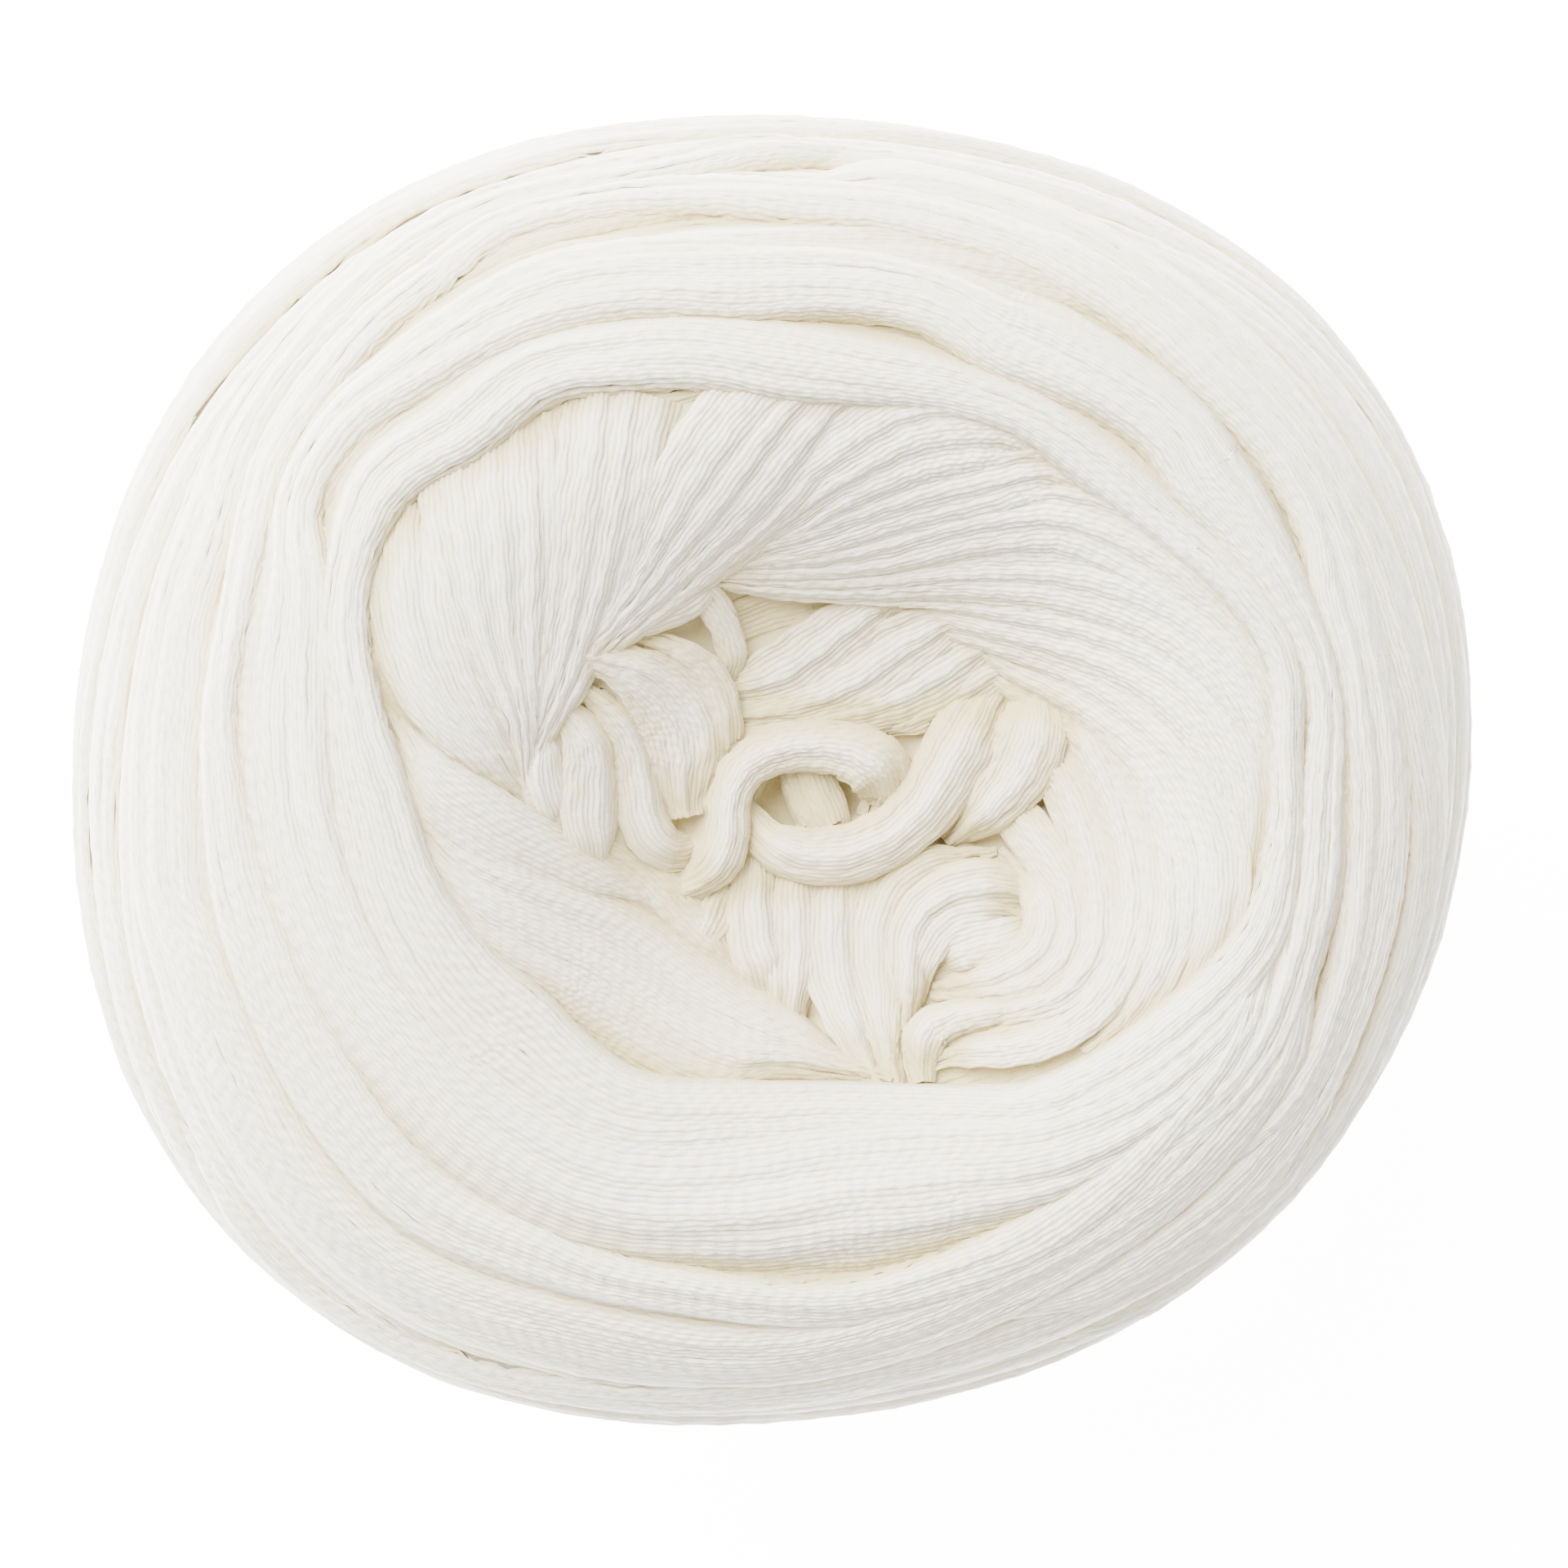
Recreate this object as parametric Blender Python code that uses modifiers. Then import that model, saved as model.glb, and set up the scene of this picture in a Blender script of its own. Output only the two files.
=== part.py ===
"""Yarn cake: one wound body of soft cotton, lying on its flat end.

The plain form is a turned meridian pressed a little out of round. The windings are laid over it as
strips: each strip has a rounded showing edge and tucks its other side under the strip outside it.
The strips of the face are read in millimetres on the face as it is seen from above, x to the right
and y away, from the middle of the hollow. Lengths are millimetres until the points are written.
"""
import bpy
import numpy as np

NAME = "yarn_cake"
MM = 0.001

# Meridian of the plain form, from the middle of the hollow over the rim and down the side
MERIDIAN = (
    # radius, height
    (0.0, 58.5), (10.0, 58.5), (19.0, 60.0), (27.0, 64.5), (34.0, 68.5), (42.0, 70.5),
    (50.0, 69.0), (57.0, 65.0), (62.5, 58.5), (66.7, 50.0), (68.8, 40.0), (69.0, 30.0),
    (67.6, 19.0), (64.0, 10.0), (58.0, 3.5), (51.0, 0.4), (46.0, 0.0),
)
# Out-of-round terms of the plan: lobes, share of the radius, direction in degrees
PLAN_LOBES = ((2, 0.038, 10.0), (3, 0.010, 7.0), (4, 0.015, 42.0))
HOLLOW_X, HOLLOW_Y = 4.0, -1.5
HOLLOW_PULL = 62.0

# The sight that the face readings are taken along
SIGHT_TILT, SIGHT_TOWARD = 12.0, 142.0
SIGHT_REACH = 470.0
SIGHT_MIDDLE = (0.0, 0.0, 35.0)
READ_X, READ_Y = 7.64, -4.38
SETTLE_ROUNDS, SETTLE_SHARE = 30, 0.6
PLAN_ROUNDS = 8
FACE_SAMPLES = 400
START_HEIGHT = 64.0

# Rows of the turned profile: along the meridian up to this far, this far apart
ROW_BANDS = ((42.0, 1.65), (84.0, 2.15), (126.0, 3.0), (141.5, 5.2))
FIRST_ROW = 2.6
FOOT_RADII = (30.0, 14.0)
COLUMNS = 90

# Chart of the surface: cell, half width, and the depth of bare ground between windings
CELL = 0.5
CHART_HALF = 144.0
LAY_STEP = 0.3
GROUND, HOLLOW_GROUND = -2.6, -4.4
HOLLOW_EDGE, HOLLOW_BLEND = 30.0, 8.0
SOFTEN_PASSES = 6

# Section of a fold: share of the width taken by the rounded edge, and where the tuck begins
EDGE_SHARE, TUCK_SHARE = 0.16, 0.38
# How much of a fold's showing width goes on under the next one
LAP = 1.4
RIB_PITCH, RIB_HEIGHT = 3.1, 0.14
RIB_WANDER, RIB_WANDER_RUN = 0.05, 11.0
END_RUN, END_PART, END_WIDTH, END_DROP = 14.0, 0.3, 0.35, 1.2
# Round strands dive under their neighbours: level of the crown at their ends, over this run
DIVE_LEVEL, DIVE_RUN = -1.8, 8.0
# A strip wider than this is a sheet, whose ends sink as a fold's do
SHEET_WIDTH = 8.5
# Folds lie flatter on the left: share of the depth lost, and where in x the change ends and over how far
FLATTER_LEFT, FLAT_EDGE, FLAT_BLEND = 0.25, -8.0, 26.0

# Folds, round the cake counterclockwise: the showing inner edge x, y and the width outward
FOLDS = (
    # name, level of the crown, depth of the edge, rows of x, y, width
    ("hollow_left", -0.6, 2.4, (
        (-47, 11, 3), (-40, 5.5, 7), (-34, 2, 8), (-28, -1.2, 8), (-22.5, -4.6, 7), (-16, -11, 4))),
    ("hollow_low", -0.4, 3.0, (
        (-45, 1.5, 5), (-38, -3, 9), (-30.5, -5.4, 12), (-23.5, -7.4, 14), (-17, -11, 14),
        (-10, -16, 13), (-5, -19.2, 11), (0, -23.2, 7), (5, -26, 4))),
    ("first_turn", 0.2, 4.0, (
        (4, -28.4, 6), (14, -27.6, 8), (23, -24.6, 9), (30, -20, 9), (35.6, -15.6, 8), (39.6, -10.8, 7),
        (42.1, -3.6, 5), (42.8, 5, 4), (42, 15.5, 4.5), (38, 21, 5),
        (31, 27, 5.5), (24, 32, 7), (17, 37.5, 6.5), (10, 39.8, 7), (-6, 41.2, 9.5), (-14, 42.5, 9),
        (-22, 42.5, 8.5), (-29, 41.7, 8), (-37, 36, 8), (-45, 31, 7), (-48.3, 24, 5), (-48.6, 18, 5),
        (-47, 11, 6), (-44.5, 4, 8), (-40, -7.5, 10), (-35, -13.5, 12), (-30, -17.5, 13),
        (-25.5, -22, 12), (-21.5, -25, 11), (-10, -26.3, 10), (2, -26.6, 9), (12, -27, 8),
        (20, -26.4, 8), (27, -23.4, 7), (33, -19.4, 6))),
    ("second_turn", 0.2, 3.6, (
        (22, -38, 6), (30, -33, 7), (36.6, -27.4, 7), (40.8, -21.6, 7), (43.4, -14.6, 6.5),
        (45.2, -7, 6.5), (45.8, 2, 6), (46.6, 10, 5),
        (45.3, 16, 5), (41.5, 22, 6.5), (37, 27, 9), (33, 31, 10.5), (30, 36, 10), (25.5, 39.5, 10),
        (20, 41.7, 11.5), (14, 44.3, 11.5), (8, 48.5, 10), (2, 50.1, 10), (-10, 50.1, 11), (-20, 50.2, 11),
        (-28, 49, 11), (-36, 45.8, 9.5), (-43, 42, 8.5), (-49, 38.5, 7), (-53.5, 32, 6),
        (-52.3, 23, 8), (-51.6, 14, 10), (-51.5, 5, 10), (-49.5, -5, 10), (-45.5, -14, 10),
        (-39.5, -21, 10.5), (-32, -27, 12), (-22, -31.5, 13.5), (-10, -31.2, 16), (0, -29.5, 17),
        (10, -29, 16), (20, -28.8, 13), (28, -26, 11), (34.6, -21.6, 9), (39.4, -16, 8), (42.6, -9, 6))),
    ("third_turn", 0.2, 3.6, (
        (34, -38.4, 6), (40.6, -32.4, 7), (45.6, -25, 7), (48.8, -16.6, 6.5), (50.3, -8, 6),
        (50.7, 4, 5.5), (49.5, 14, 5), (47.2, 21.5, 6), (46, 28, 6), (42.6, 34.5, 7),
        (36.8, 41.2, 7), (29.5, 48, 8), (20, 54.3, 8), (7.2, 58.7, 9), (-5, 60.6, 8), (-17, 61.5, 7),
        (-26, 60.7, 6), (-34.4, 58.5, 6), (-40, 54.3, 6), (-46, 49.7, 6), (-52, 43, 6),
        (-56.5, 36, 6), (-59, 28, 5), (-60.6, 20, 4.5), (-62.2, 10, 4.5), (-61.5, 3.6, 5.5),
        (-58.7, -7, 7.5), (-54.8, -16.4, 8), (-50.9, -23.6, 8.5), (-46, -30.9, 8.5),
        (-41.2, -36.3, 8.5), (-33, -40.8, 8), (-24.2, -44.5, 7), (-14.5, -46.6, 6.5),
        (0, -47.7, 7), (9.6, -44.9, 9), (18, -40.6, 11), (25.5, -35.2, 10), (31.6, -29.4, 9),
        (36.6, -23.4, 8), (40, -17, 7), (42.4, -10, 6))),
    ("fourth_turn", 0.2, 3.0, (
        (5, 68.2, 9), (-3, 67, 9), (-10, 66, 9), (-17, 64.4, 9), (-28, 62.3, 9), (-38, 59.3, 9),
        (-46, 54, 9), (-54, 46, 9), (-59, 39, 9), (-62.4, 29, 10), (-64.7, 21, 11), (-65.8, 11, 12),
        (-66.2, 1, 12), (-65.8, -8, 12), (-63.5, -15, 12), (-60.5, -22, 13), (-56.5, -30, 13),
        (-52, -36.5, 13), (-46, -42.5, 13), (-38, -46.8, 13), (-30, -49, 13), (-20, -51.2, 13),
        (-10, -52.3, 12), (0, -50.9, 12), (8, -48.2, 12), (17, -44.2, 11), (25.6, -39.4, 10),
        (33.4, -33.4, 9), (39.6, -26.6, 8), (44, -19, 7), (46.6, -11, 6))),
    ("right_inner", 0.3, 2.4, (
        (12, -52, 6), (22, -47.6, 8), (31, -42.4, 9), (39, -35.8, 9), (45.4, -27.4, 8),
        (49.6, -18, 7), (52.2, -9, 6.5), (53, 0, 6),
        (52.4, 8, 6), (51, 15, 6), (49, 23, 6), (45.5, 32.5, 6), (40, 40, 6), (34, 46, 6),
        (27, 52, 6), (18, 57, 6), (8, 60.6, 7))),
    ("right_outer", 0.1, 2.4, (
        (18, -56, 7), (28, -50.6, 9), (37.5, -43.8, 10), (45.4, -35.8, 10), (50.8, -27.6, 9),
        (54.2, -19.6, 9), (56.6, -11.5, 9), (57.5, -3, 9), (56.4, 6, 9),
        (54.6, 13, 9), (52.4, 20, 9), (49.2, 27.5, 9), (45, 35.5, 9), (39, 43.5, 9), (32, 50.5, 9),
        (25, 55.5, 9), (16, 60, 9), (4, 62.8, 9), (-8, 63.6, 9))),
    ("low_outer", 0.0, 2.4, (
        (-69, -31, 9), (-63.5, -38, 9), (-55, -47.5, 9), (-47, -52.6, 9), (-38, -56, 9),
        (-25, -58.2, 9), (-12, -58.4, 9), (-3, -57.2, 10), (6, -55, 10), (16, -51.8, 10),
        (27, -47, 10), (37, -41, 10), (45, -34, 9), (51, -26, 8))),
)

# Sheets and loops: the middle line x, y and the whole width
LOOPS = (
    # name, level of the crown, depth of the sides, rows of x, y, width
    ("fan_edge", -0.9, 1.1, (
        (-43.5, 35, 8), (-43.8, 27, 10), (-42.8, 19, 10), (-40, 12.5, 9.5), (-36.4, 7.5, 7),
        (-33, 3.5, 4), (-30, 0, 2))),
    ("fan_left", -0.4, 1.0, (
        (-35.5, 41, 15), (-34.8, 32, 15), (-34, 23, 13), (-33, 15, 8.6), (-31.9, 8.5, 4.6),
        (-31.4, 4, 2.6), (-30.6, 0, 2))),
    ("fan_middle", -0.15, 1.0, (
        (-22, 43, 12), (-23.6, 33, 10.5), (-25.2, 24, 9.5), (-27.4, 16, 7), (-29.6, 10, 4.4),
        (-31, 5.5, 2.4), (-31, 1.5, 1.6))),
    ("fan_right", 0.1, 1.0, (
        (-2, 43, 16), (-8.4, 36, 16), (-14, 29.5, 14), (-19, 23.4, 9), (-23.4, 18.4, 5.2),
        (-26.6, 14.2, 3.6), (-29.4, 9.2, 2.4))),
    ("sheet_top", -0.4, 0.8, (
        (-17, 24.6, 3), (-9, 27.6, 6), (0, 33.4, 11), (8, 37.4, 13), (16, 38, 11), (24, 33, 8))),
    ("sheet_high", -0.35, 0.8, (
        (-17, 24, 3), (-6, 26.2, 5.5), (4, 29.4, 7.5), (13, 31.8, 8.6), (20, 33, 7), (27, 29.5, 6))),
    ("sheet_mid", -0.3, 0.8, (
        (-17, 23.6, 2.6), (-7, 24.2, 4.4), (4, 25.6, 6.6), (14, 28, 8.4), (22, 28.4, 8.4),
        (30, 25.2, 8),
        (36.6, 20, 8), (41, 13.4, 6))),
    ("sheet_low", -0.3, 0.8, (
        (-16.4, 23.2, 1.8), (-8, 22.5, 2.6), (1, 22.5, 4), (11, 23, 6.6), (21, 22.8, 9), (30, 20.4, 9),
        (37.6, 14.8, 8), (41.8, 7.2, 6), (42.3, -2, 5))),
    ("sheet_down", -0.4, 0.8, (
        (2, 20.6, 2.6), (11, 19.6, 5.5), (20, 17.8, 8), (29, 14.6, 9), (36, 9, 9), (39.8, 1, 8),
        (39.6, -8, 6))),
    ("sheet_inner", -0.45, 0.8, (
        (10.5, 18, 2.6), (17, 14.6, 6), (25, 10.6, 9), (32, 3.8, 10), (35.5, -4, 10), (35.6, -12, 9),
        (32, -20, 8))),
    ("sheet_edge", -0.5, 1.1, (
        (12, 15, 3.4), (17.6, 12, 5.6), (23.6, 7.8, 8), (28.8, 1.2, 9), (31, -6, 8), (30.8, -13, 8),
        (28, -19, 7), (23, -24, 5))),
    ("upper_band", -0.6, 1.0, (
        (-13, 11.4, 3.6), (-10, 12.4, 4.8), (-6.4, 14, 6), (-2.4, 16.6, 6), (2, 19.6, 5),
        (7, 21.6, 3.6))),
    ("upper_mid", -0.5, 0.9, (
        (-12.6, 9, 2.4), (-9, 9.7, 3.4), (-4, 10.8, 5), (1, 13.2, 6.6), (6, 16.6, 6.4), (10.6, 19, 5),
        (14, 20.4, 3.6))),
    ("upper_low", -0.6, 0.9, (
        (-12.4, 7.6, 2), (-8, 8.2, 2.4), (-2.6, 9.2, 3.2), (3, 10.6, 4.6), (8, 13, 6), (12.4, 15.6, 6),
        (16.4, 17.6, 5))),
    ("upper_lip", -1.0, 1.0, (
        (2.6, 7.6, 2), (6, 9, 3.6), (9.6, 10.8, 5), (13.6, 13.2, 5.4), (17, 15, 5))),
    ("hook", 1.9, 2.1, (
        (-18.6, -8.8, 2), (-16, -7.9, 3.2), (-13.6, -5.6, 4.2), (-12.5, -1.8, 4.2), (-12.3, 1.6, 4),
        (-10.8, 4.6, 4.2), (-7.6, 6.4, 4.4), (-3, 6.8, 4.8), (0.6, 6, 5.6), (3.2, 4.2, 6.6),
        (4, 1.4, 6.4), (3, -1.4, 5))),
    ("cradle", 1.3, 2.0, (
        (-10.8, 3.2, 2), (-9.8, -0.2, 3.2), (-7.8, -2.9, 4.4), (-4, -4.3, 5.4), (0.6, -3.9, 6),
        (4.6, -2.1, 6.2), (7.8, 0.8, 6.4), (10.2, 4.6, 6.8), (12.2, 8, 7.2), (14, 10.8, 7),
        (15.8, 13.2, 5))),
    ("right_curl", 1.1, 2.0, (
        (18.6, 13.8, 4), (19, 11, 6.2), (18.6, 7.8, 7.4), (17.2, 4.4, 7.4), (14.8, 1.5, 6.4),
        (12.4, -0.9, 4.8), (10, -3.4, 3))),
    ("tongue", -0.9, 1.4, (
        (-5.6, 7.4, 3.4), (-4, 4.2, 4.6), (-2.8, 1.2, 5), (-1.6, -1.6, 4.6), (-0.6, -4.4, 3.4))),
    ("left_lobe", 0.9, 1.5, (
        (-27.4, 15.6, 1.8), (-24.4, 15, 3.4), (-20.6, 13.2, 6.4), (-17.6, 10, 8.6), (-16.4, 6.2, 8),
        (-16.2, 2.6, 6), (-15.6, -0.6, 4))),
    ("lobe_right", 0.2, 1.3, (
        (-22, 17, 2), (-17.6, 16.2, 3.4), (-14.4, 13.4, 4.6), (-13, 9.4, 4.6), (-12.8, 5.4, 4),
        (-12.6, 2, 3))),
    ("left_strand", 0.5, 1.9, (
        (-28.6, 13.4, 1.6), (-25, 11.4, 2.8), (-22.6, 8.4, 3.6), (-21.4, 5, 4.2), (-20.9, 1.4, 4.8),
        (-20.3, -1.6, 5), (-18.2, -3.7, 4.8), (-15.4, -3.9, 4.4), (-12.8, -2.4, 3.4))),
    ("left_bulge", 0.1, 1.5, (
        (-29.6, 12, 1.6), (-27.4, 9.4, 3.6), (-25.9, 6.4, 5.6), (-25.6, 3, 6.6), (-25.6, -0.6, 6.4),
        (-24.6, -4.6, 4.4), (-23, -7.4, 3))),
    ("left_corner", -0.5, 1.3, (
        (-30, 9, 1.6), (-29.9, 6, 3), (-29.7, 3, 4), (-28.8, 0.4, 3.8), (-27.4, -2, 3))),
    ("strap", -0.2, 1.3, (
        (-27, 16.4, 1.6), (-23, 18.2, 2.4), (-19.4, 19.5, 3.4), (-16.2, 20.8, 3.8), (-13.6, 22.6, 3),
        (-11.6, 25, 2))),
    ("strap_end", -0.5, 1.4, (
        (-17, 24.6, 2), (-14.2, 21.8, 3), (-12.3, 18.6, 3.2), (-11.4, 15, 3), (-11.8, 11.4, 2))),
    ("low_side", -0.1, 1.1, (
        (-9.2, -1.6, 3), (-9.3, -5.4, 3.8), (-9.4, -9, 4.6), (-9, -12.6, 5), (-8, -16, 5),
        (-7, -19.4, 3.6))),
    ("low_middle", -0.1, 1.0, (
        (-5, -2, 4), (-5.3, -6, 4.6), (-5.3, -10, 5), (-5.3, -14, 5), (-5.4, -18, 4.4), (-5, -22, 3))),
    ("low_bundle", 0.0, 1.0, (
        (-0.6, -2, 5), (-1.4, -6, 5.6), (-1.8, -10.4, 5.8), (-1.6, -15, 5.6), (-0.6, -19.4, 5),
        (1.4, -23.6, 4), (3.4, -27, 3))),
    ("low_right", -0.1, 1.0, (
        (4, -2.6, 4.6), (3, -6, 5), (1.9, -10, 5), (1.7, -14.4, 4.8), (2.6, -19, 4.2), (4, -23.4, 3.4),
        (5, -27, 2.6))),
    ("swirl_outer", 0.2, 1.2, (
        (15, -4, 2), (11.4, -4.6, 3.2), (8, -5.4, 4), (5.2, -7.6, 4.4), (3.7, -11, 4.4),
        (3.5, -15, 3.8), (3.8, -19, 3.4), (4.2, -23, 2.8), (4.6, -27, 2))),
    ("swirl_band", 0.7, 1.3, (
        (20, -9.4, 3), (17.4, -7.9, 4.4), (14, -7.3, 5), (10.4, -7.9, 5), (7.2, -9.8, 5),
        (5.9, -13, 4.6), (5.8, -16.6, 3.8), (5.7, -20, 3.2), (5.6, -24, 2.4))),
    ("swirl_inner", 0.65, 1.0, (
        (18, -11, 3), (15.4, -10.2, 4), (12.2, -10.2, 4.4), (9.4, -11.4, 4.4), (7.8, -13.8, 4),
        (7, -16.8, 3), (6.8, -19.6, 2.2))),
    ("swirl_core", 0.5, 0.9, (
        (8.4, -15.8, 3), (10.8, -14, 4), (13.8, -13, 4.2), (16.6, -12.2, 4), (19, -10.6, 3))),
    ("swirl_ring", 0.6, 1.1, (
        (15.4, -3.6, 2.6), (18.4, -6.4, 3.8), (20, -10, 4.6), (19.2, -13.4, 4.8), (16, -15.6, 4.6),
        (12, -16.6, 4), (8, -17.2, 2.4))),
    ("swirl_side", 0.35, 1.1, (
        (13, 4, 3), (16.4, 0.4, 4.4), (19.6, -3.8, 4.8), (22, -8.6, 5), (21.9, -13.4, 4.8),
        (19.4, -16.4, 4), (15.6, -17.8, 3), (11.6, -18.2, 2.4), (8, -18.4, 1.8))),
    ("swirl_far", 0.2, 1.1, (
        (17.4, 9.6, 3), (20.4, 5.2, 4.6), (22.6, 0.4, 5), (24.4, -5, 5), (25, -10, 5),
        (24.3, -14.4, 5), (21.6, -18, 4), (17.4, -19.6, 3), (12.6, -20.4, 2.6), (9, -21, 2))),
    ("swirl_rim", -0.1, 1.1, (
        (20.6, 12.4, 3), (23.6, 7.2, 5), (26.2, 1.4, 5.6), (27.8, -4, 5.6), (28.2, -9.6, 5.6),
        (27.1, -15, 5.4), (24, -19.7, 5), (19.8, -22.5, 4.8), (15.4, -23.4, 4.6), (11, -23.6, 4.2),
        (7.4, -24.8, 3))),
    ("low_curl", 0.6, 1.6, (
        (7.6, -26.6, 4), (7.4, -24.2, 4.6), (8, -22, 4.6), (10.6, -20.6, 3.8), (14.4, -20, 3),
        (19, -19, 2))),
    ("edge_strand", -0.9, 1.2, (
        (-28, -1.4, 3), (-23.4, -3.8, 4), (-19.2, -6.8, 4.2), (-15.6, -10.2, 4.2), (-12.4, -13.4, 4),
        (-9.4, -17.4, 3))),
    ("deep_strand", -0.9, 1.3, (
        (-10.4, -2.6, 2.4), (-11.4, -5.6, 3.4), (-12.4, -8.8, 4.2), (-13.6, -12, 4), (-15.2, -15, 3))),
)

# Windings of the side: a spiral that goes down the wall, one turn this far under the last
WALL_START, WALL_PITCH, WALL_TURNS = 55.0, 9.2, 7.8
WALL_WIDTH, WALL_DEPTH = 13.0, 2.0
WALL_COVERED, WALL_COVER_DROP = (74.0, 84.0), 0.9
WALL_SAMPLES = 2200
# Waves of the side's windings: how many a turn, size and phase
WALL_WAVES = ((2.0, 1.1, 0.4), (5.3, 0.6, 1.9))
FOOT_FADE = (118.0, 128.0)

YARN_COLOUR = (0.86, 0.83, 0.77, 1.0)
YARN_ROUGHNESS = 0.95


def smooth(value):
    """Ease from 0 to 1."""
    held = np.clip(value, 0.0, 1.0)
    return held * held * (3.0 - 2.0 * held)


def curve(known, values, at):
    """Smooth curve through the known places, read at other places."""
    slopes = np.gradient(values, known)
    left = np.clip(np.searchsorted(known, at) - 1, 0, len(known) - 2)
    span = known[left + 1] - known[left]
    t = (at - known[left]) / span
    rise = (2 * t - 3) * t * t
    return ((1 + rise) * values[left] + (t - 1) ** 2 * t * span * slopes[left]
            - rise * values[left + 1] + (t - 1) * t * t * span * slopes[left + 1])


RADII, HEIGHTS = np.array(MERIDIAN).T
ALONG = np.concatenate([[0.0], np.cumsum(np.hypot(np.diff(RADII), np.diff(HEIGHTS)))])
WIDEST = int(np.argmax(RADII))
# A dense copy of the face's meridian, which is read the other way round: from radius to run
FACE_RUN = np.linspace(0.0, ALONG[WIDEST], FACE_SAMPLES)
FACE_RADIUS = np.maximum.accumulate(curve(ALONG, RADII, FACE_RUN))


def plan_factor(theta):
    """How far out of round the plan is in a direction."""
    factor = np.ones_like(theta)
    for lobes, share, toward in PLAN_LOBES:
        factor = factor + share * np.cos(lobes * (theta - np.radians(toward)))
    return factor


def hollow_weight(radius):
    """Full pull toward the hollow's own middle at the centre, none at the side."""
    return smooth(1.0 - radius / HOLLOW_PULL)


def form(theta, run):
    """Point of the plain form and its outward direction."""
    radius = curve(ALONG, RADII, run)
    height = curve(ALONG, HEIGHTS, run)
    pull = hollow_weight(radius)
    reach = radius * (1.0 + (plan_factor(theta) - 1.0) * (1.0 - pull))
    point = np.stack([reach * np.cos(theta) + HOLLOW_X * pull,
                      reach * np.sin(theta) + HOLLOW_Y * pull, height], axis=-1)
    out = -np.gradient(HEIGHTS, ALONG)
    up = np.gradient(RADII, ALONG)
    lean = np.arctan2(np.interp(run, ALONG, out), np.interp(run, ALONG, up))
    facing = np.stack([np.sin(lean) * np.cos(theta), np.sin(lean) * np.sin(theta), np.cos(lean)], axis=-1)
    return point, facing


def face_chart(x, y):
    """Direction and run of the form's face under a place in plan."""
    radius = np.hypot(x, y)
    theta = np.arctan2(y, x)
    for _ in range(PLAN_ROUNDS):
        pull = hollow_weight(radius)
        theta = np.arctan2(y - HOLLOW_Y * pull, x - HOLLOW_X * pull)
        reach = np.hypot(y - HOLLOW_Y * pull, x - HOLLOW_X * pull)
        radius = reach / (1.0 + (plan_factor(theta) - 1.0) * (1.0 - pull))
    return theta, np.interp(radius, FACE_RADIUS, FACE_RUN)


def seat(x, y):
    """Chart place where the sight line of a face reading meets the plain form."""
    tilt, toward = np.radians(SIGHT_TILT), np.radians(SIGHT_TOWARD)
    back = np.array([np.sin(tilt) * np.cos(toward), np.sin(tilt) * np.sin(toward), np.cos(tilt)])
    away = np.array([0.0, 1.0, 0.0]) - back[1] * back
    away = away / np.linalg.norm(away)
    right = np.cross(away, back)
    middle = np.array(SIGHT_MIDDLE)
    eye = middle + SIGHT_REACH * back
    line = middle + np.outer(x + READ_X, right) + np.outer(y + READ_Y, away) - eye
    height = np.full(len(x), START_HEIGHT)
    for _ in range(SETTLE_ROUNDS):
        foot = eye + line * ((height - eye[2]) / line[:, 2])[:, None]
        theta, run = face_chart(foot[:, 0], foot[:, 1])
        height = height + SETTLE_SHARE * (curve(ALONG, HEIGHTS, run) - height)
    return np.stack([run * np.cos(theta), run * np.sin(theta)], axis=1)


def course(rows):
    """A smooth line through a strip's rows: distance along it, x, y and width."""
    x, y, width = np.array(rows, float).T
    known = np.concatenate([[0.0], np.cumsum(np.hypot(np.diff(x), np.diff(y)))])
    at = np.linspace(0.0, known[-1], int(known[-1] / LAY_STEP) + 2)
    return at, curve(known, x, at), curve(known, y, at), curve(known, width, at)


def across(line):
    """Unit direction to the right of a chart line's travel."""
    step = np.gradient(line, axis=0)
    step = step / np.linalg.norm(step, axis=1)[:, None]
    return np.stack([step[:, 1], -step[:, 0]], axis=1)


def fold_section(share):
    """Height of a fold's section, 1 at the crown and 0 at the two sides."""
    edge = np.sqrt(np.clip(1.0 - (1.0 - share / EDGE_SHARE) ** 2, 0.0, 1.0))
    tuck = 1.0 - smooth((share - TUCK_SHARE) / (1.0 - TUCK_SHARE))
    return np.where(share < EDGE_SHARE, edge, tuck)


def loop_section(share):
    """Height of a round strand's section."""
    return np.sqrt(np.clip(1.0 - (2.0 * share - 1.0) ** 2, 0.0, 1.0))


def end_share(at, run):
    """How far a place is from a strip's two ends, 0 to 1."""
    return smooth(np.minimum(at, at[-1] - at) / min(run, END_PART * at[-1]))


def lay(chart, at, near, far, width, crown, depth, section):
    """Lay one strip on the chart, keeping whatever is highest."""
    share = np.linspace(0.0, 1.0, int(width.max() / LAY_STEP) + 2)
    place = near[:, None, :] + (far - near)[:, None, :] * share[None, :, None]
    wander = RIB_WANDER * np.sin(at / RIB_WANDER_RUN)
    ribs = np.maximum(np.round(width.max() / RIB_PITCH), 1.0)
    rib = np.cos(2.0 * np.pi * ribs * (share[None, :] + wander[:, None]))
    height = crown[:, None] + depth[:, None] * (section(share)[None, :] - 1.0) + RIB_HEIGHT * rib
    cells = np.round((place + CHART_HALF) / CELL).astype(int)
    top = chart.shape[0] - 1
    cells = np.clip(cells, 0, top)
    np.maximum.at(chart, (cells[..., 0], cells[..., 1]), height)


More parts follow.
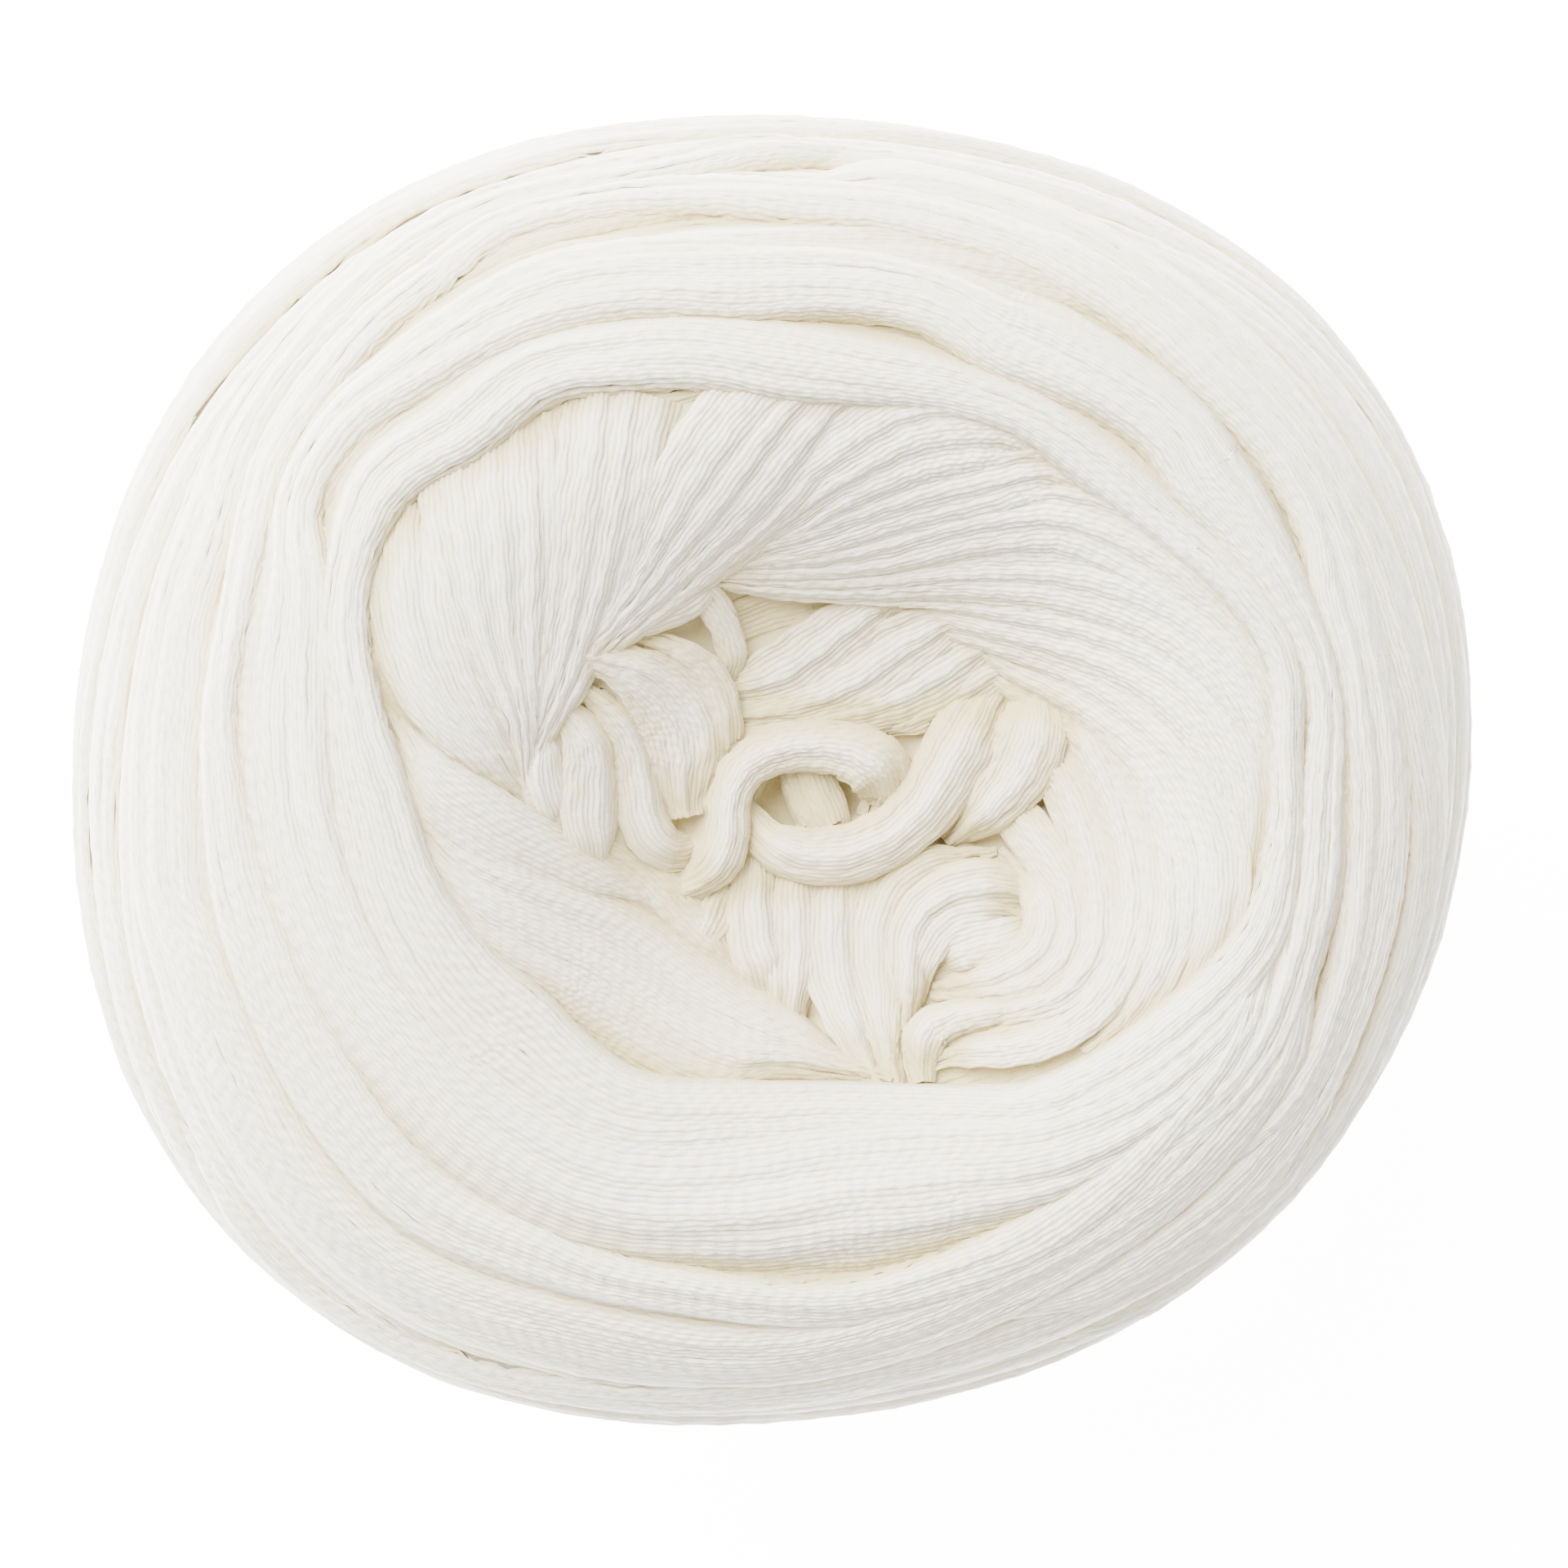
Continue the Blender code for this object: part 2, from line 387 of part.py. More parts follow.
def wound_chart():
    """Height of the windings over the plain form, on a flat chart of run and direction."""
    side = int(2.0 * CHART_HALF / CELL) + 1
    grid = np.linspace(-CHART_HALF, CHART_HALF, side)
    run = np.hypot(grid[:, None], grid[None, :])
    bare = smooth((run - HOLLOW_EDGE) / HOLLOW_BLEND)
    chart = HOLLOW_GROUND + (GROUND - HOLLOW_GROUND) * bare

    for _, level, depth, rows in FOLDS:
        at, x, y, width = course(rows)
        near = seat(x, y)
        inside = end_share(at, END_RUN)
        reach = LAP * width * (END_WIDTH + (1.0 - END_WIDTH) * inside)
        far = near + across(near) * reach[:, None]
        depths = depth * (1.0 - FLATTER_LEFT * smooth((FLAT_EDGE - x) / FLAT_BLEND))
        crown = level - END_DROP * (1.0 - inside)
        lay(chart, at, near, far, width, crown, depths, fold_section)
    for _, level, depth, rows in LOOPS:
        at, x, y, width = course(rows)
        middle = seat(x, y)
        half = across(middle) * 0.5 * width[:, None]
        depths = np.full(len(at), depth)
        wide = width.max() > SHEET_WIDTH
        end_level = level - END_DROP if wide else DIVE_LEVEL
        crown = end_level + (level - end_level) * end_share(at, END_RUN if wide else DIVE_RUN)
        lay(chart, at, middle - half, middle + half, width, crown, depths, loop_section)

    turn = np.linspace(0.0, 2.0 * np.pi * WALL_TURNS, int(WALL_TURNS * WALL_SAMPLES))
    run_down = WALL_START + WALL_PITCH * turn / (2.0 * np.pi)
    for waves, size, phase in WALL_WAVES:
        run_down = run_down + size * np.sin(waves * turn + phase)
    upper = np.stack([run_down * np.cos(turn), run_down * np.sin(turn)], axis=1)
    outward = upper / run_down[:, None]
    width = np.full(len(turn), WALL_WIDTH)
    covered = 1.0 - smooth((run_down - WALL_COVERED[0]) / (WALL_COVERED[1] - WALL_COVERED[0]))
    inside = end_share(run_down[0] * turn, END_RUN)
    crown = -WALL_COVER_DROP * covered - END_DROP * (1.0 - inside)
    depths = np.full(len(turn), WALL_DEPTH)
    lay(chart, run_down[0] * turn, upper, upper + outward * WALL_WIDTH, width, crown, depths, fold_section)

    flat = smooth((run - FOOT_FADE[0]) / (FOOT_FADE[1] - FOOT_FADE[0]))
    chart = chart * (1.0 - flat)
    for _ in range(SOFTEN_PASSES):
        for axis in (0, 1):
            chart = 0.5 * chart + 0.25 * (np.roll(chart, 1, axis) + np.roll(chart, -1, axis))
    return chart


def read_chart(chart, theta, run):
    """Height of the windings at a direction and run, between the chart's cells."""
    u = (run * np.cos(theta) + CHART_HALF) / CELL
    v = (run * np.sin(theta) + CHART_HALF) / CELL
    i = np.clip(u.astype(int), 0, chart.shape[0] - 2)
    j = np.clip(v.astype(int), 0, chart.shape[1] - 2)
    a, b = u - i, v - j
    return ((1 - a) * (1 - b) * chart[i, j] + a * (1 - b) * chart[i + 1, j]
            + (1 - a) * b * chart[i, j + 1] + a * b * chart[i + 1, j + 1])


def profile_rows():
    """Runs of the profile's rows, close in the hollow and wide on the wall."""
    runs = [FIRST_ROW]
    for limit, gap in ROW_BANDS:
        limit = min(limit, ALONG[-1])
        count = int(round((limit - runs[-1]) / gap))
        runs.extend(np.linspace(runs[-1], limit, count + 1)[1:])
    return np.array(runs)


def turned_body(runs):
    """The plain round body, turned from its meridian."""
    radii = curve(ALONG, RADII, runs)
    heights = np.maximum(curve(ALONG, HEIGHTS, runs), 0.0)
    profile = [(0.0, HEIGHTS[0])] + list(zip(radii, heights))
    profile += [(radius, 0.0) for radius in FOOT_RADII] + [(0.0, 0.0)]
    mesh = bpy.data.meshes.new("meridian")
    mesh.from_pydata([(r, 0.0, z) for r, z in profile], [(i, i + 1) for i in range(len(profile) - 1)], [])
    turned = bpy.data.objects.new("meridian", mesh)
    bpy.context.scene.collection.objects.link(turned)
    screw = turned.modifiers.new("turn", "SCREW")
    screw.axis = "Z"
    screw.steps = COLUMNS
    screw.render_steps = COLUMNS
    screw.use_merge_vertices = True
    screw.merge_threshold = 0.0001
    screw.use_smooth_shade = True
    bpy.context.view_layer.update()
    body = bpy.data.meshes.new_from_object(turned.evaluated_get(bpy.context.evaluated_depsgraph_get()))
    bpy.data.objects.remove(turned)
    bpy.data.meshes.remove(mesh)
    return body


def wind(body, runs):
    """Move the body's points onto the wound surface."""
    count = len(body.vertices)
    flat = np.empty(count * 3)
    body.vertices.foreach_get("co", flat)
    points = flat.reshape(-1, 3)
    radius = np.hypot(points[:, 0], points[:, 1])
    theta = np.arctan2(points[:, 1], points[:, 0])

    row_radius = np.concatenate([[0.0], curve(ALONG, RADII, runs)])
    row_height = np.concatenate([[HEIGHTS[0]], np.maximum(curve(ALONG, HEIGHTS, runs), 0.0)])
    row_run = np.concatenate([[0.0], runs])
    miss = (radius[:, None] - row_radius) ** 2 + (points[:, 2][:, None] - row_height) ** 2
    row = np.argmin(miss, axis=1)
    on_row = miss[np.arange(count), row] < CELL * CELL

    run = row_run[row]
    place, facing = form(theta, run)
    lift = read_chart(wound_chart(), theta, run)
    wound = place + facing * lift[:, None]
    # The middle of the foot keeps its turned place, pressed to the same plan
    pressed = points * np.stack([plan_factor(theta), plan_factor(theta), np.ones(count)], axis=1)
    points = np.where(on_row[:, None], wound, pressed)
    points[:, 2] = np.maximum(points[:, 2], 0.0)
    middle = 0.5 * (points.min(axis=0) + points.max(axis=0))
    points[:, :2] -= middle[:2]
    body.vertices.foreach_set("co", (points * MM).ravel())
    body.update()


def yarn_material():
    """Undyed cotton."""
    material = bpy.data.materials.new("cotton_yarn")
    material.use_nodes = True
    shader = material.node_tree.nodes["Principled BSDF"]
    shader.inputs["Base Color"].default_value = YARN_COLOUR
    shader.inputs["Roughness"].default_value = YARN_ROUGHNESS
    return material


def main():
    for old in list(bpy.data.objects):
        bpy.data.objects.remove(old)
    collection = bpy.data.collections.new(NAME)
    bpy.context.scene.collection.children.link(collection)
    runs = profile_rows()
    body = turned_body(runs)
    wind(body, runs)
    body.name = NAME
    body.materials.append(yarn_material())
    collection.objects.link(bpy.data.objects.new(NAME, body))


main()
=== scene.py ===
"""Yarn cake, its looks: cotton threads lie side by side along every winding, fold and loop.

The windings are laid on a flat chart of the cake's surface, as in the part's source. Threads then run
along each winding, and are left out where another winding covers them. Lengths are millimetres until
the points are written. The camera looks down on the face from a little to the left and above.
"""

import bpy
import numpy as np
from mathutils import Matrix, Vector


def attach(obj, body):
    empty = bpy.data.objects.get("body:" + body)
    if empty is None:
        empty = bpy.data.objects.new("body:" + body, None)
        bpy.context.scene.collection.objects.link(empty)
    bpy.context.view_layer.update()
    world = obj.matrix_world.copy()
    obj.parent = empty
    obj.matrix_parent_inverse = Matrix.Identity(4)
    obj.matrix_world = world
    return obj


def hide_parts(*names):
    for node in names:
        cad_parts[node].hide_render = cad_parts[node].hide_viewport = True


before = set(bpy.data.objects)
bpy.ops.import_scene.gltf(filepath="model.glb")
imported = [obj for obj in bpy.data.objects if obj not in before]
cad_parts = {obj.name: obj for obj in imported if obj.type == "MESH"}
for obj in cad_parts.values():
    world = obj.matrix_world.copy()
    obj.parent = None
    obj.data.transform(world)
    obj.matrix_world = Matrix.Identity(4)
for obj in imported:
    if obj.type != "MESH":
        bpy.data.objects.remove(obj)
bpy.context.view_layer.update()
CAKE = "yarn_cake"
MM = 0.001

# Meridian of the plain form, from the middle of the hollow, over the rim, down the side and under
MERIDIAN = (
    # radius, height
    (0.0, 58.5), (10.0, 58.5), (19.0, 60.0), (27.0, 64.5), (34.0, 68.5), (42.0, 70.5),
    (50.0, 69.0), (57.0, 65.0), (62.5, 58.5), (66.7, 50.0), (68.8, 40.0), (69.0, 30.0),
    (67.6, 19.0), (64.0, 10.0), (58.0, 3.5), (51.0, 0.4), (46.0, 0.0), (30.0, 0.0), (14.0, 0.0), (0.0, 0.0),
)
# Out-of-round terms of the plan: lobes, share of the radius, direction in degrees
PLAN_LOBES = ((2, 0.038, 10.0), (3, 0.010, 7.0), (4, 0.015, 42.0))
# Middle of the hollow in plan, and the radius inside which the form is pulled to it
HOLLOW_X, HOLLOW_Y = 4.0, -1.5
HOLLOW_PULL = 62.0

# The sight that the face readings are taken along
SIGHT_TILT, SIGHT_TOWARD = 12.0, 142.0
SIGHT_REACH = 470.0
SIGHT_MIDDLE = (0.0, 0.0, 35.0)
READ_X, READ_Y = 7.64, -4.38
SETTLE_ROUNDS, SETTLE_SHARE = 30, 0.6
PLAN_ROUNDS = 8
FACE_SAMPLES = 400
START_HEIGHT = 64.0

# Folds, round the cake counterclockwise: the showing inner edge x, y and the width outward
FOLDS = (
    # name, level of the crown, depth of the edge, rows of x, y, width
    ("hollow_left", -0.6, 2.4, (
        (-47, 11, 3), (-40, 5.5, 7), (-34, 2, 8), (-28, -1.2, 8), (-22.5, -4.6, 7), (-16, -11, 4))),
    ("hollow_low", -0.4, 3.0, (
        (-45, 1.5, 5), (-38, -3, 9), (-30.5, -5.4, 12), (-23.5, -7.4, 14), (-17, -11, 14),
        (-10, -16, 13), (-5, -19.2, 11), (0, -23.2, 7), (5, -26, 4))),
    ("first_turn", 0.2, 4.0, (
        (4, -28.4, 6), (14, -27.6, 8), (23, -24.6, 9), (30, -20, 9), (35.6, -15.6, 8), (39.6, -10.8, 7),
        (42.1, -3.6, 5), (42.8, 5, 4), (42, 15.5, 4.5), (38, 21, 5),
        (31, 27, 5.5), (24, 32, 7), (17, 37.5, 6.5), (10, 39.8, 7), (-6, 41.2, 9.5), (-14, 42.5, 9),
        (-22, 42.5, 8.5), (-29, 41.7, 8), (-37, 36, 8), (-45, 31, 7), (-48.3, 24, 5), (-48.6, 18, 5),
        (-47, 11, 6), (-44.5, 4, 8), (-40, -7.5, 10), (-35, -13.5, 12), (-30, -17.5, 13),
        (-25.5, -22, 12), (-21.5, -25, 11), (-10, -26.3, 10), (2, -26.6, 9), (12, -27, 8),
        (20, -26.4, 8), (27, -23.4, 7), (33, -19.4, 6))),
    ("second_turn", 0.2, 3.6, (
        (22, -38, 6), (30, -33, 7), (36.6, -27.4, 7), (40.8, -21.6, 7), (43.4, -14.6, 6.5),
        (45.2, -7, 6.5), (45.8, 2, 6), (46.6, 10, 5),
        (45.3, 16, 5), (41.5, 22, 6.5), (37, 27, 9), (33, 31, 10.5), (30, 36, 10), (25.5, 39.5, 10),
        (20, 41.7, 11.5), (14, 44.3, 11.5), (8, 48.5, 10), (2, 50.1, 10), (-10, 50.1, 11), (-20, 50.2, 11),
        (-28, 49, 11), (-36, 45.8, 9.5), (-43, 42, 8.5), (-49, 38.5, 7), (-53.5, 32, 6),
        (-52.3, 23, 8), (-51.6, 14, 10), (-51.5, 5, 10), (-49.5, -5, 10), (-45.5, -14, 10),
        (-39.5, -21, 10.5), (-32, -27, 12), (-22, -31.5, 13.5), (-10, -31.2, 16), (0, -29.5, 17),
        (10, -29, 16), (20, -28.8, 13), (28, -26, 11), (34.6, -21.6, 9), (39.4, -16, 8), (42.6, -9, 6))),
    ("third_turn", 0.2, 3.6, (
        (34, -38.4, 6), (40.6, -32.4, 7), (45.6, -25, 7), (48.8, -16.6, 6.5), (50.3, -8, 6),
        (50.7, 4, 5.5), (49.5, 14, 5), (47.2, 21.5, 6), (46, 28, 6), (42.6, 34.5, 7),
        (36.8, 41.2, 7), (29.5, 48, 8), (20, 54.3, 8), (7.2, 58.7, 9), (-5, 60.6, 8), (-17, 61.5, 7),
        (-26, 60.7, 6), (-34.4, 58.5, 6), (-40, 54.3, 6), (-46, 49.7, 6), (-52, 43, 6),
        (-56.5, 36, 6), (-59, 28, 5), (-60.6, 20, 4.5), (-62.2, 10, 4.5), (-61.5, 3.6, 5.5),
        (-58.7, -7, 7.5), (-54.8, -16.4, 8), (-50.9, -23.6, 8.5), (-46, -30.9, 8.5),
        (-41.2, -36.3, 8.5), (-33, -40.8, 8), (-24.2, -44.5, 7), (-14.5, -46.6, 6.5),
        (0, -47.7, 7), (9.6, -44.9, 9), (18, -40.6, 11), (25.5, -35.2, 10), (31.6, -29.4, 9),
        (36.6, -23.4, 8), (40, -17, 7), (42.4, -10, 6))),
    ("fourth_turn", 0.2, 3.0, (
        (5, 68.2, 9), (-3, 67, 9), (-10, 66, 9), (-17, 64.4, 9), (-28, 62.3, 9), (-38, 59.3, 9),
        (-46, 54, 9), (-54, 46, 9), (-59, 39, 9), (-62.4, 29, 10), (-64.7, 21, 11), (-65.8, 11, 12),
        (-66.2, 1, 12), (-65.8, -8, 12), (-63.5, -15, 12), (-60.5, -22, 13), (-56.5, -30, 13),
        (-52, -36.5, 13), (-46, -42.5, 13), (-38, -46.8, 13), (-30, -49, 13), (-20, -51.2, 13),
        (-10, -52.3, 12), (0, -50.9, 12), (8, -48.2, 12), (17, -44.2, 11), (25.6, -39.4, 10),
        (33.4, -33.4, 9), (39.6, -26.6, 8), (44, -19, 7), (46.6, -11, 6))),
    ("right_inner", 0.3, 2.4, (
        (12, -52, 6), (22, -47.6, 8), (31, -42.4, 9), (39, -35.8, 9), (45.4, -27.4, 8),
        (49.6, -18, 7), (52.2, -9, 6.5), (53, 0, 6),
        (52.4, 8, 6), (51, 15, 6), (49, 23, 6), (45.5, 32.5, 6), (40, 40, 6), (34, 46, 6),
        (27, 52, 6), (18, 57, 6), (8, 60.6, 7))),
    ("right_outer", 0.1, 2.4, (
        (18, -56, 7), (28, -50.6, 9), (37.5, -43.8, 10), (45.4, -35.8, 10), (50.8, -27.6, 9),
        (54.2, -19.6, 9), (56.6, -11.5, 9), (57.5, -3, 9), (56.4, 6, 9),
        (54.6, 13, 9), (52.4, 20, 9), (49.2, 27.5, 9), (45, 35.5, 9), (39, 43.5, 9), (32, 50.5, 9),
        (25, 55.5, 9), (16, 60, 9), (4, 62.8, 9), (-8, 63.6, 9))),
    ("low_outer", 0.0, 2.4, (
        (-69, -31, 9), (-63.5, -38, 9), (-55, -47.5, 9), (-47, -52.6, 9), (-38, -56, 9),
        (-25, -58.2, 9), (-12, -58.4, 9), (-3, -57.2, 10), (6, -55, 10), (16, -51.8, 10),
        (27, -47, 10), (37, -41, 10), (45, -34, 9), (51, -26, 8))),
)

# Sheets and loops: the middle line x, y and the whole width
LOOPS = (
    # name, level of the crown, depth of the sides, rows of x, y, width
    ("fan_edge", -0.9, 1.1, (
        (-43.5, 35, 8), (-43.8, 27, 10), (-42.8, 19, 10), (-40, 12.5, 9.5), (-36.4, 7.5, 7),
        (-33, 3.5, 4), (-30, 0, 2))),
    ("fan_left", -0.4, 1.0, (
        (-35.5, 41, 15), (-34.8, 32, 15), (-34, 23, 13), (-33, 15, 8.6), (-31.9, 8.5, 4.6),
        (-31.4, 4, 2.6), (-30.6, 0, 2))),
    ("fan_middle", -0.15, 1.0, (
        (-22, 43, 12), (-23.6, 33, 10.5), (-25.2, 24, 9.5), (-27.4, 16, 7), (-29.6, 10, 4.4),
        (-31, 5.5, 2.4), (-31, 1.5, 1.6))),
    ("fan_right", 0.1, 1.0, (
        (-2, 43, 16), (-8.4, 36, 16), (-14, 29.5, 14), (-19, 23.4, 9), (-23.4, 18.4, 5.2),
        (-26.6, 14.2, 3.6), (-29.4, 9.2, 2.4))),
    ("sheet_top", -0.4, 0.8, (
        (-17, 24.6, 3), (-9, 27.6, 6), (0, 33.4, 11), (8, 37.4, 13), (16, 38, 11), (24, 33, 8))),
    ("sheet_high", -0.35, 0.8, (
        (-17, 24, 3), (-6, 26.2, 5.5), (4, 29.4, 7.5), (13, 31.8, 8.6), (20, 33, 7), (27, 29.5, 6))),
    ("sheet_mid", -0.3, 0.8, (
        (-17, 23.6, 2.6), (-7, 24.2, 4.4), (4, 25.6, 6.6), (14, 28, 8.4), (22, 28.4, 8.4),
        (30, 25.2, 8),
        (36.6, 20, 8), (41, 13.4, 6))),
    ("sheet_low", -0.3, 0.8, (
        (-16.4, 23.2, 1.8), (-8, 22.5, 2.6), (1, 22.5, 4), (11, 23, 6.6), (21, 22.8, 9), (30, 20.4, 9),
        (37.6, 14.8, 8), (41.8, 7.2, 6), (42.3, -2, 5))),
    ("sheet_down", -0.4, 0.8, (
        (2, 20.6, 2.6), (11, 19.6, 5.5), (20, 17.8, 8), (29, 14.6, 9), (36, 9, 9), (39.8, 1, 8),
        (39.6, -8, 6))),
    ("sheet_inner", -0.45, 0.8, (
        (10.5, 18, 2.6), (17, 14.6, 6), (25, 10.6, 9), (32, 3.8, 10), (35.5, -4, 10), (35.6, -12, 9),
        (32, -20, 8))),
    ("sheet_edge", -0.5, 1.1, (
        (12, 15, 3.4), (17.6, 12, 5.6), (23.6, 7.8, 8), (28.8, 1.2, 9), (31, -6, 8), (30.8, -13, 8),
        (28, -19, 7), (23, -24, 5))),
    ("upper_band", -0.6, 1.0, (
        (-13, 11.4, 3.6), (-10, 12.4, 4.8), (-6.4, 14, 6), (-2.4, 16.6, 6), (2, 19.6, 5),
        (7, 21.6, 3.6))),
    ("upper_mid", -0.5, 0.9, (
        (-12.6, 9, 2.4), (-9, 9.7, 3.4), (-4, 10.8, 5), (1, 13.2, 6.6), (6, 16.6, 6.4), (10.6, 19, 5),
        (14, 20.4, 3.6))),
    ("upper_low", -0.6, 0.9, (
        (-12.4, 7.6, 2), (-8, 8.2, 2.4), (-2.6, 9.2, 3.2), (3, 10.6, 4.6), (8, 13, 6), (12.4, 15.6, 6),
        (16.4, 17.6, 5))),
    ("upper_lip", -1.0, 1.0, (
        (2.6, 7.6, 2), (6, 9, 3.6), (9.6, 10.8, 5), (13.6, 13.2, 5.4), (17, 15, 5))),
    ("hook", 1.9, 2.1, (
        (-18.6, -8.8, 2), (-16, -7.9, 3.2), (-13.6, -5.6, 4.2), (-12.5, -1.8, 4.2), (-12.3, 1.6, 4),
        (-10.8, 4.6, 4.2), (-7.6, 6.4, 4.4), (-3, 6.8, 4.8), (0.6, 6, 5.6), (3.2, 4.2, 6.6),
        (4, 1.4, 6.4), (3, -1.4, 5))),
    ("cradle", 1.3, 2.0, (
        (-10.8, 3.2, 2), (-9.8, -0.2, 3.2), (-7.8, -2.9, 4.4), (-4, -4.3, 5.4), (0.6, -3.9, 6),
        (4.6, -2.1, 6.2), (7.8, 0.8, 6.4), (10.2, 4.6, 6.8), (12.2, 8, 7.2), (14, 10.8, 7),
        (15.8, 13.2, 5))),
    ("right_curl", 1.1, 2.0, (
        (18.6, 13.8, 4), (19, 11, 6.2), (18.6, 7.8, 7.4), (17.2, 4.4, 7.4), (14.8, 1.5, 6.4),
        (12.4, -0.9, 4.8), (10, -3.4, 3))),
    ("tongue", -0.9, 1.4, (
        (-5.6, 7.4, 3.4), (-4, 4.2, 4.6), (-2.8, 1.2, 5), (-1.6, -1.6, 4.6), (-0.6, -4.4, 3.4))),
    ("left_lobe", 0.9, 1.5, (
        (-27.4, 15.6, 1.8), (-24.4, 15, 3.4), (-20.6, 13.2, 6.4), (-17.6, 10, 8.6), (-16.4, 6.2, 8),
        (-16.2, 2.6, 6), (-15.6, -0.6, 4))),
    ("lobe_right", 0.2, 1.3, (
        (-22, 17, 2), (-17.6, 16.2, 3.4), (-14.4, 13.4, 4.6), (-13, 9.4, 4.6), (-12.8, 5.4, 4),
        (-12.6, 2, 3))),
    ("left_strand", 0.5, 1.9, (
        (-28.6, 13.4, 1.6), (-25, 11.4, 2.8), (-22.6, 8.4, 3.6), (-21.4, 5, 4.2), (-20.9, 1.4, 4.8),
        (-20.3, -1.6, 5), (-18.2, -3.7, 4.8), (-15.4, -3.9, 4.4), (-12.8, -2.4, 3.4))),
    ("left_bulge", 0.1, 1.5, (
        (-29.6, 12, 1.6), (-27.4, 9.4, 3.6), (-25.9, 6.4, 5.6), (-25.6, 3, 6.6), (-25.6, -0.6, 6.4),
        (-24.6, -4.6, 4.4), (-23, -7.4, 3))),
    ("left_corner", -0.5, 1.3, (
        (-30, 9, 1.6), (-29.9, 6, 3), (-29.7, 3, 4), (-28.8, 0.4, 3.8), (-27.4, -2, 3))),
    ("strap", -0.2, 1.3, (
        (-27, 16.4, 1.6), (-23, 18.2, 2.4), (-19.4, 19.5, 3.4), (-16.2, 20.8, 3.8), (-13.6, 22.6, 3),
        (-11.6, 25, 2))),
    ("strap_end", -0.5, 1.4, (
        (-17, 24.6, 2), (-14.2, 21.8, 3), (-12.3, 18.6, 3.2), (-11.4, 15, 3), (-11.8, 11.4, 2))),
    ("low_side", -0.1, 1.1, (
        (-9.2, -1.6, 3), (-9.3, -5.4, 3.8), (-9.4, -9, 4.6), (-9, -12.6, 5), (-8, -16, 5),
        (-7, -19.4, 3.6))),
    ("low_middle", -0.1, 1.0, (
        (-5, -2, 4), (-5.3, -6, 4.6), (-5.3, -10, 5), (-5.3, -14, 5), (-5.4, -18, 4.4), (-5, -22, 3))),
    ("low_bundle", 0.0, 1.0, (
        (-0.6, -2, 5), (-1.4, -6, 5.6), (-1.8, -10.4, 5.8), (-1.6, -15, 5.6), (-0.6, -19.4, 5),
        (1.4, -23.6, 4), (3.4, -27, 3))),
    ("low_right", -0.1, 1.0, (
        (4, -2.6, 4.6), (3, -6, 5), (1.9, -10, 5), (1.7, -14.4, 4.8), (2.6, -19, 4.2), (4, -23.4, 3.4),
        (5, -27, 2.6))),
    ("swirl_outer", 0.2, 1.2, (
        (15, -4, 2), (11.4, -4.6, 3.2), (8, -5.4, 4), (5.2, -7.6, 4.4), (3.7, -11, 4.4),
        (3.5, -15, 3.8), (3.8, -19, 3.4), (4.2, -23, 2.8), (4.6, -27, 2))),
    ("swirl_band", 0.7, 1.3, (
        (20, -9.4, 3), (17.4, -7.9, 4.4), (14, -7.3, 5), (10.4, -7.9, 5), (7.2, -9.8, 5),
        (5.9, -13, 4.6), (5.8, -16.6, 3.8), (5.7, -20, 3.2), (5.6, -24, 2.4))),
    ("swirl_inner", 0.65, 1.0, (
        (18, -11, 3), (15.4, -10.2, 4), (12.2, -10.2, 4.4), (9.4, -11.4, 4.4), (7.8, -13.8, 4),
        (7, -16.8, 3), (6.8, -19.6, 2.2))),
    ("swirl_core", 0.5, 0.9, (
        (8.4, -15.8, 3), (10.8, -14, 4), (13.8, -13, 4.2), (16.6, -12.2, 4), (19, -10.6, 3))),
    ("swirl_ring", 0.6, 1.1, (
        (15.4, -3.6, 2.6), (18.4, -6.4, 3.8), (20, -10, 4.6), (19.2, -13.4, 4.8), (16, -15.6, 4.6),
        (12, -16.6, 4), (8, -17.2, 2.4))),
    ("swirl_side", 0.35, 1.1, (
        (13, 4, 3), (16.4, 0.4, 4.4), (19.6, -3.8, 4.8), (22, -8.6, 5), (21.9, -13.4, 4.8),
        (19.4, -16.4, 4), (15.6, -17.8, 3), (11.6, -18.2, 2.4), (8, -18.4, 1.8))),
    ("swirl_far", 0.2, 1.1, (
        (17.4, 9.6, 3), (20.4, 5.2, 4.6), (22.6, 0.4, 5), (24.4, -5, 5), (25, -10, 5),
        (24.3, -14.4, 5), (21.6, -18, 4), (17.4, -19.6, 3), (12.6, -20.4, 2.6), (9, -21, 2))),
    ("swirl_rim", -0.1, 1.1, (
        (20.6, 12.4, 3), (23.6, 7.2, 5), (26.2, 1.4, 5.6), (27.8, -4, 5.6), (28.2, -9.6, 5.6),
        (27.1, -15, 5.4), (24, -19.7, 5), (19.8, -22.5, 4.8), (15.4, -23.4, 4.6), (11, -23.6, 4.2),
        (7.4, -24.8, 3))),
    ("low_curl", 0.6, 1.6, (
        (7.6, -26.6, 4), (7.4, -24.2, 4.6), (8, -22, 4.6), (10.6, -20.6, 3.8), (14.4, -20, 3),
        (19, -19, 2))),
    ("edge_strand", -0.9, 1.2, (
        (-28, -1.4, 3), (-23.4, -3.8, 4), (-19.2, -6.8, 4.2), (-15.6, -10.2, 4.2), (-12.4, -13.4, 4),
        (-9.4, -17.4, 3))),
    ("deep_strand", -0.9, 1.3, (
        (-10.4, -2.6, 2.4), (-11.4, -5.6, 3.4), (-12.4, -8.8, 4.2), (-13.6, -12, 4), (-15.2, -15, 3))),
)

# Folds whose threads make the inner piece; the others make the outer one
INNER_FOLDS = ("hollow_left", "hollow_low", "first_turn", "second_turn")

